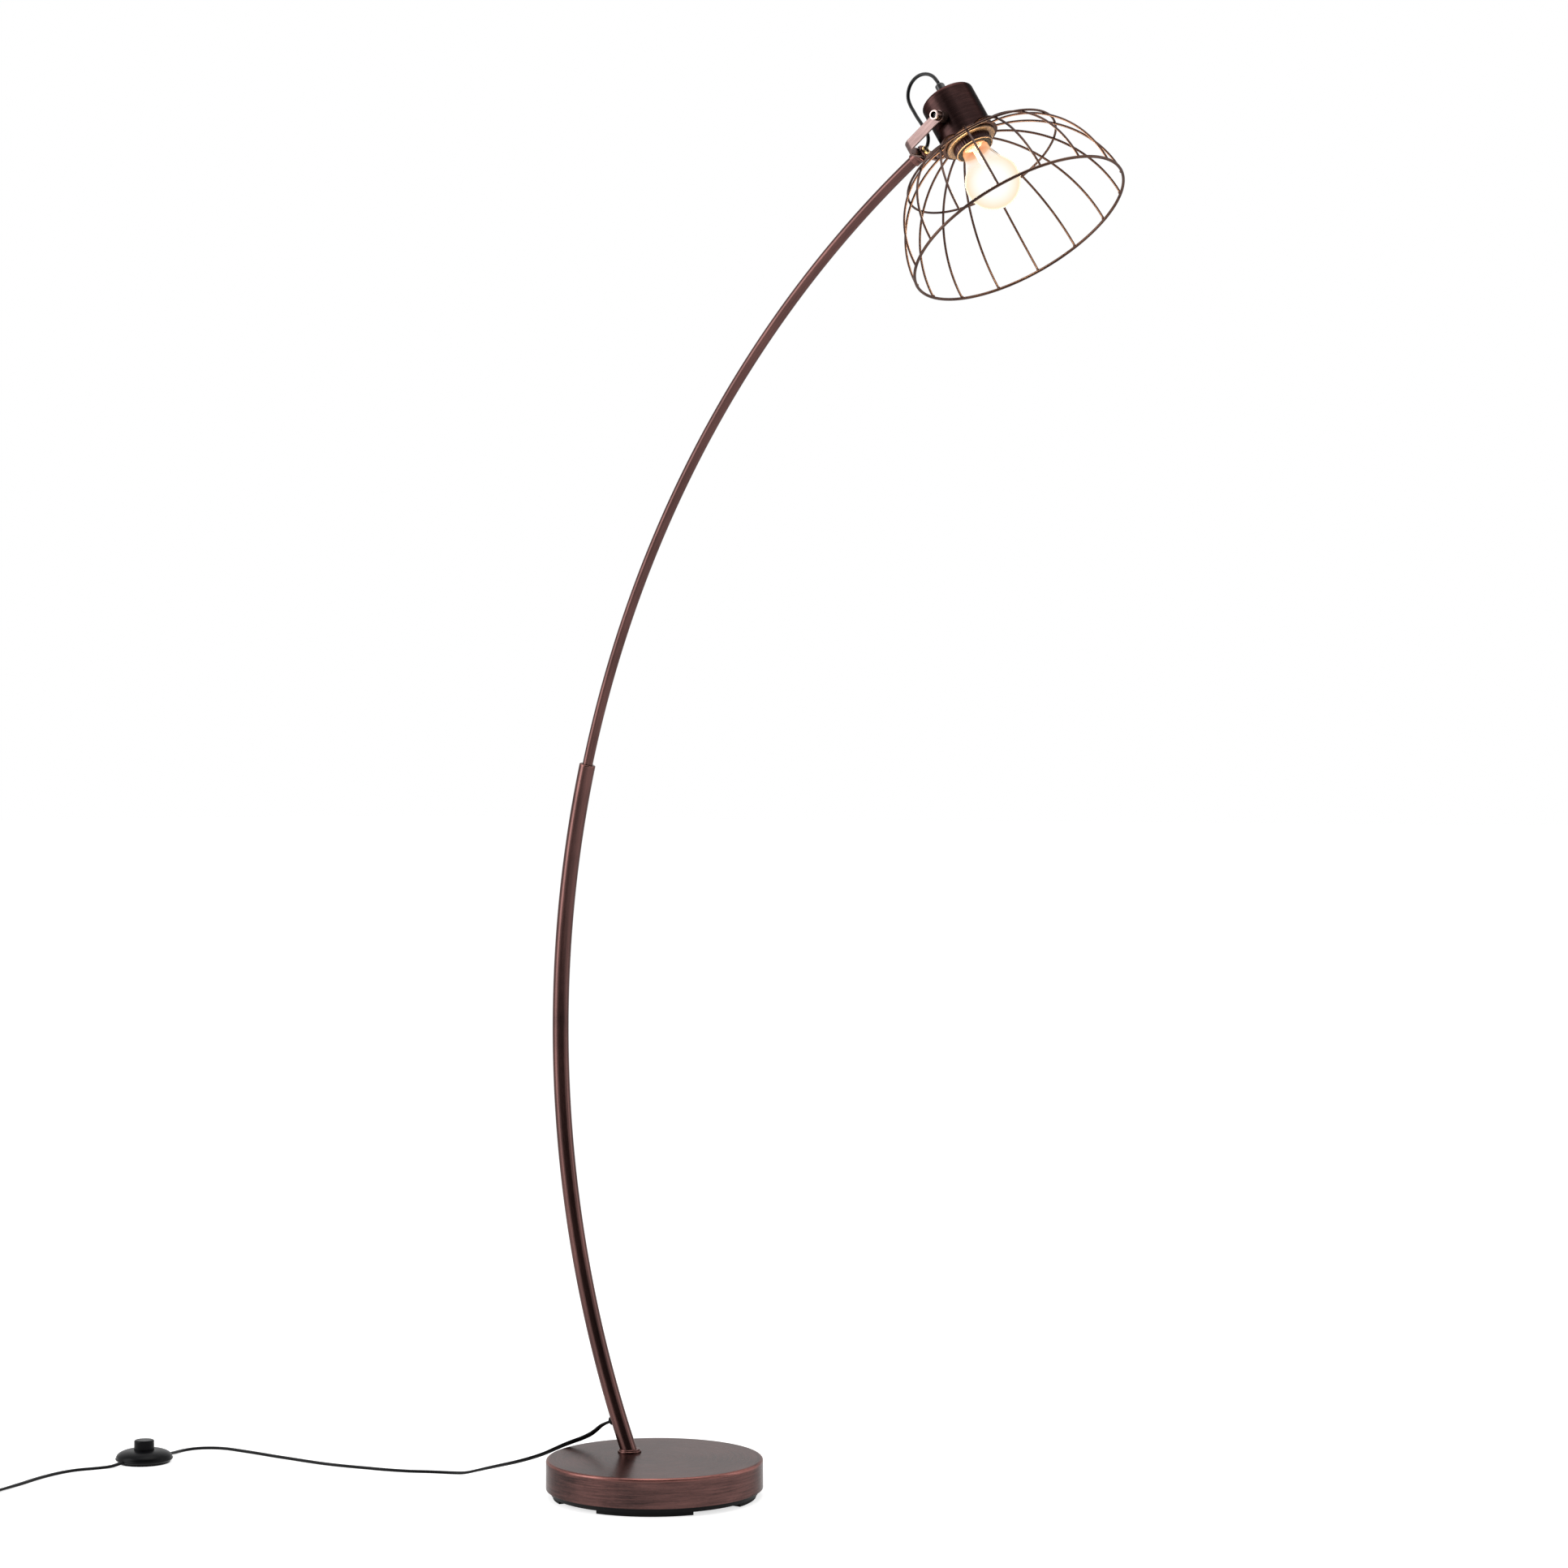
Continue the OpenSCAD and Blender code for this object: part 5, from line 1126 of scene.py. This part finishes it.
floor_white, floor_shader = principled("floor_white", {
    "Base Color": (0.62, 0.62, 0.62, 1), "Roughness": 1.0, "Specular IOR Level": 0.0,
    "Emission Color": (1, 1, 1, 1)})
floor_lift = add(floor_white, "ShaderNodeMath", {0: seen_or_mirrored(floor_white), 1: 0.7},
                 operation="MULTIPLY").outputs[0]
feed(floor_white, floor_lift, floor_shader, "Emission Strength")
floor_half = 60
stage_plane("floor", [(x * floor_half, y * floor_half, 0)
                      for x, y in ((-1, -1), (1, -1), (1, 1), (-1, 1))], floor_white)

world = bpy.data.worlds.new("surround")
world.use_nodes = True
scene.world = world
level = add(world, "ShaderNodeMapRange", {"Value": seen_or_mirrored(world), "To Min": 0.55,
                                          "To Max": 1.0}).outputs[0]
background = world.node_tree.nodes["Background"]
background.inputs["Color"].default_value = (1, 1, 1, 1)
feed(world, level, background, "Strength")

across = Vector((0.788, 0.6157, 0))
middle = Vector((0.1, 0, 0.85))
card_dark = principled("card_dark", {
    "Base Color": (0, 0, 0, 1), "Roughness": 1.0, "Specular IOR Level": 0.0,
    "Emission Color": (1, 1, 1, 1), "Emission Strength": 0.10})[0]
card_away = 3
card_left, card_right, card_low, card_high = -2.6, 3.6, -0.8, 3
card_corners = [(card_left, card_low), (card_right, card_low), (card_right, card_high),
                (card_left, card_high)]
card_centre = middle - looking * card_away
card = stage_plane("card", [card_centre + across * x + Vector((0, 0, z)) for x, z in card_corners],
                   card_dark)
card.visible_camera = False
card.visible_diffuse = False
card.visible_transmission = False
card.visible_shadow = False


def soft_lamp(name, away, size, power):
    """Large lamp that faces the middle of the scene from a place away from it."""
    lamp = bpy.data.objects.new(name, bpy.data.lights.new(name, "AREA"))
    lamp.data.shape = "RECTANGLE"
    lamp.data.size, lamp.data.size_y = size
    lamp.data.energy = power
    lamp.location = middle + away
    lamp.rotation_mode = "QUATERNION"
    lamp.rotation_quaternion = (-away).to_track_quat("-Z", "Y")
    scene.collection.objects.link(lamp)


soft_lamp("left_lamp", -across * 2.6 - looking * 0.6 + Vector((0, 0, 0.5)), (1.4, 2.4), 38)
soft_lamp("right_lamp", across * 3.2 + looking * 0.3 + Vector((0, 0, 0.6)), (1.0, 2.4), 12)
soft_lamp("top_lamp", Vector((0, 0, 2.4)), (2.4, 2.4), 34)
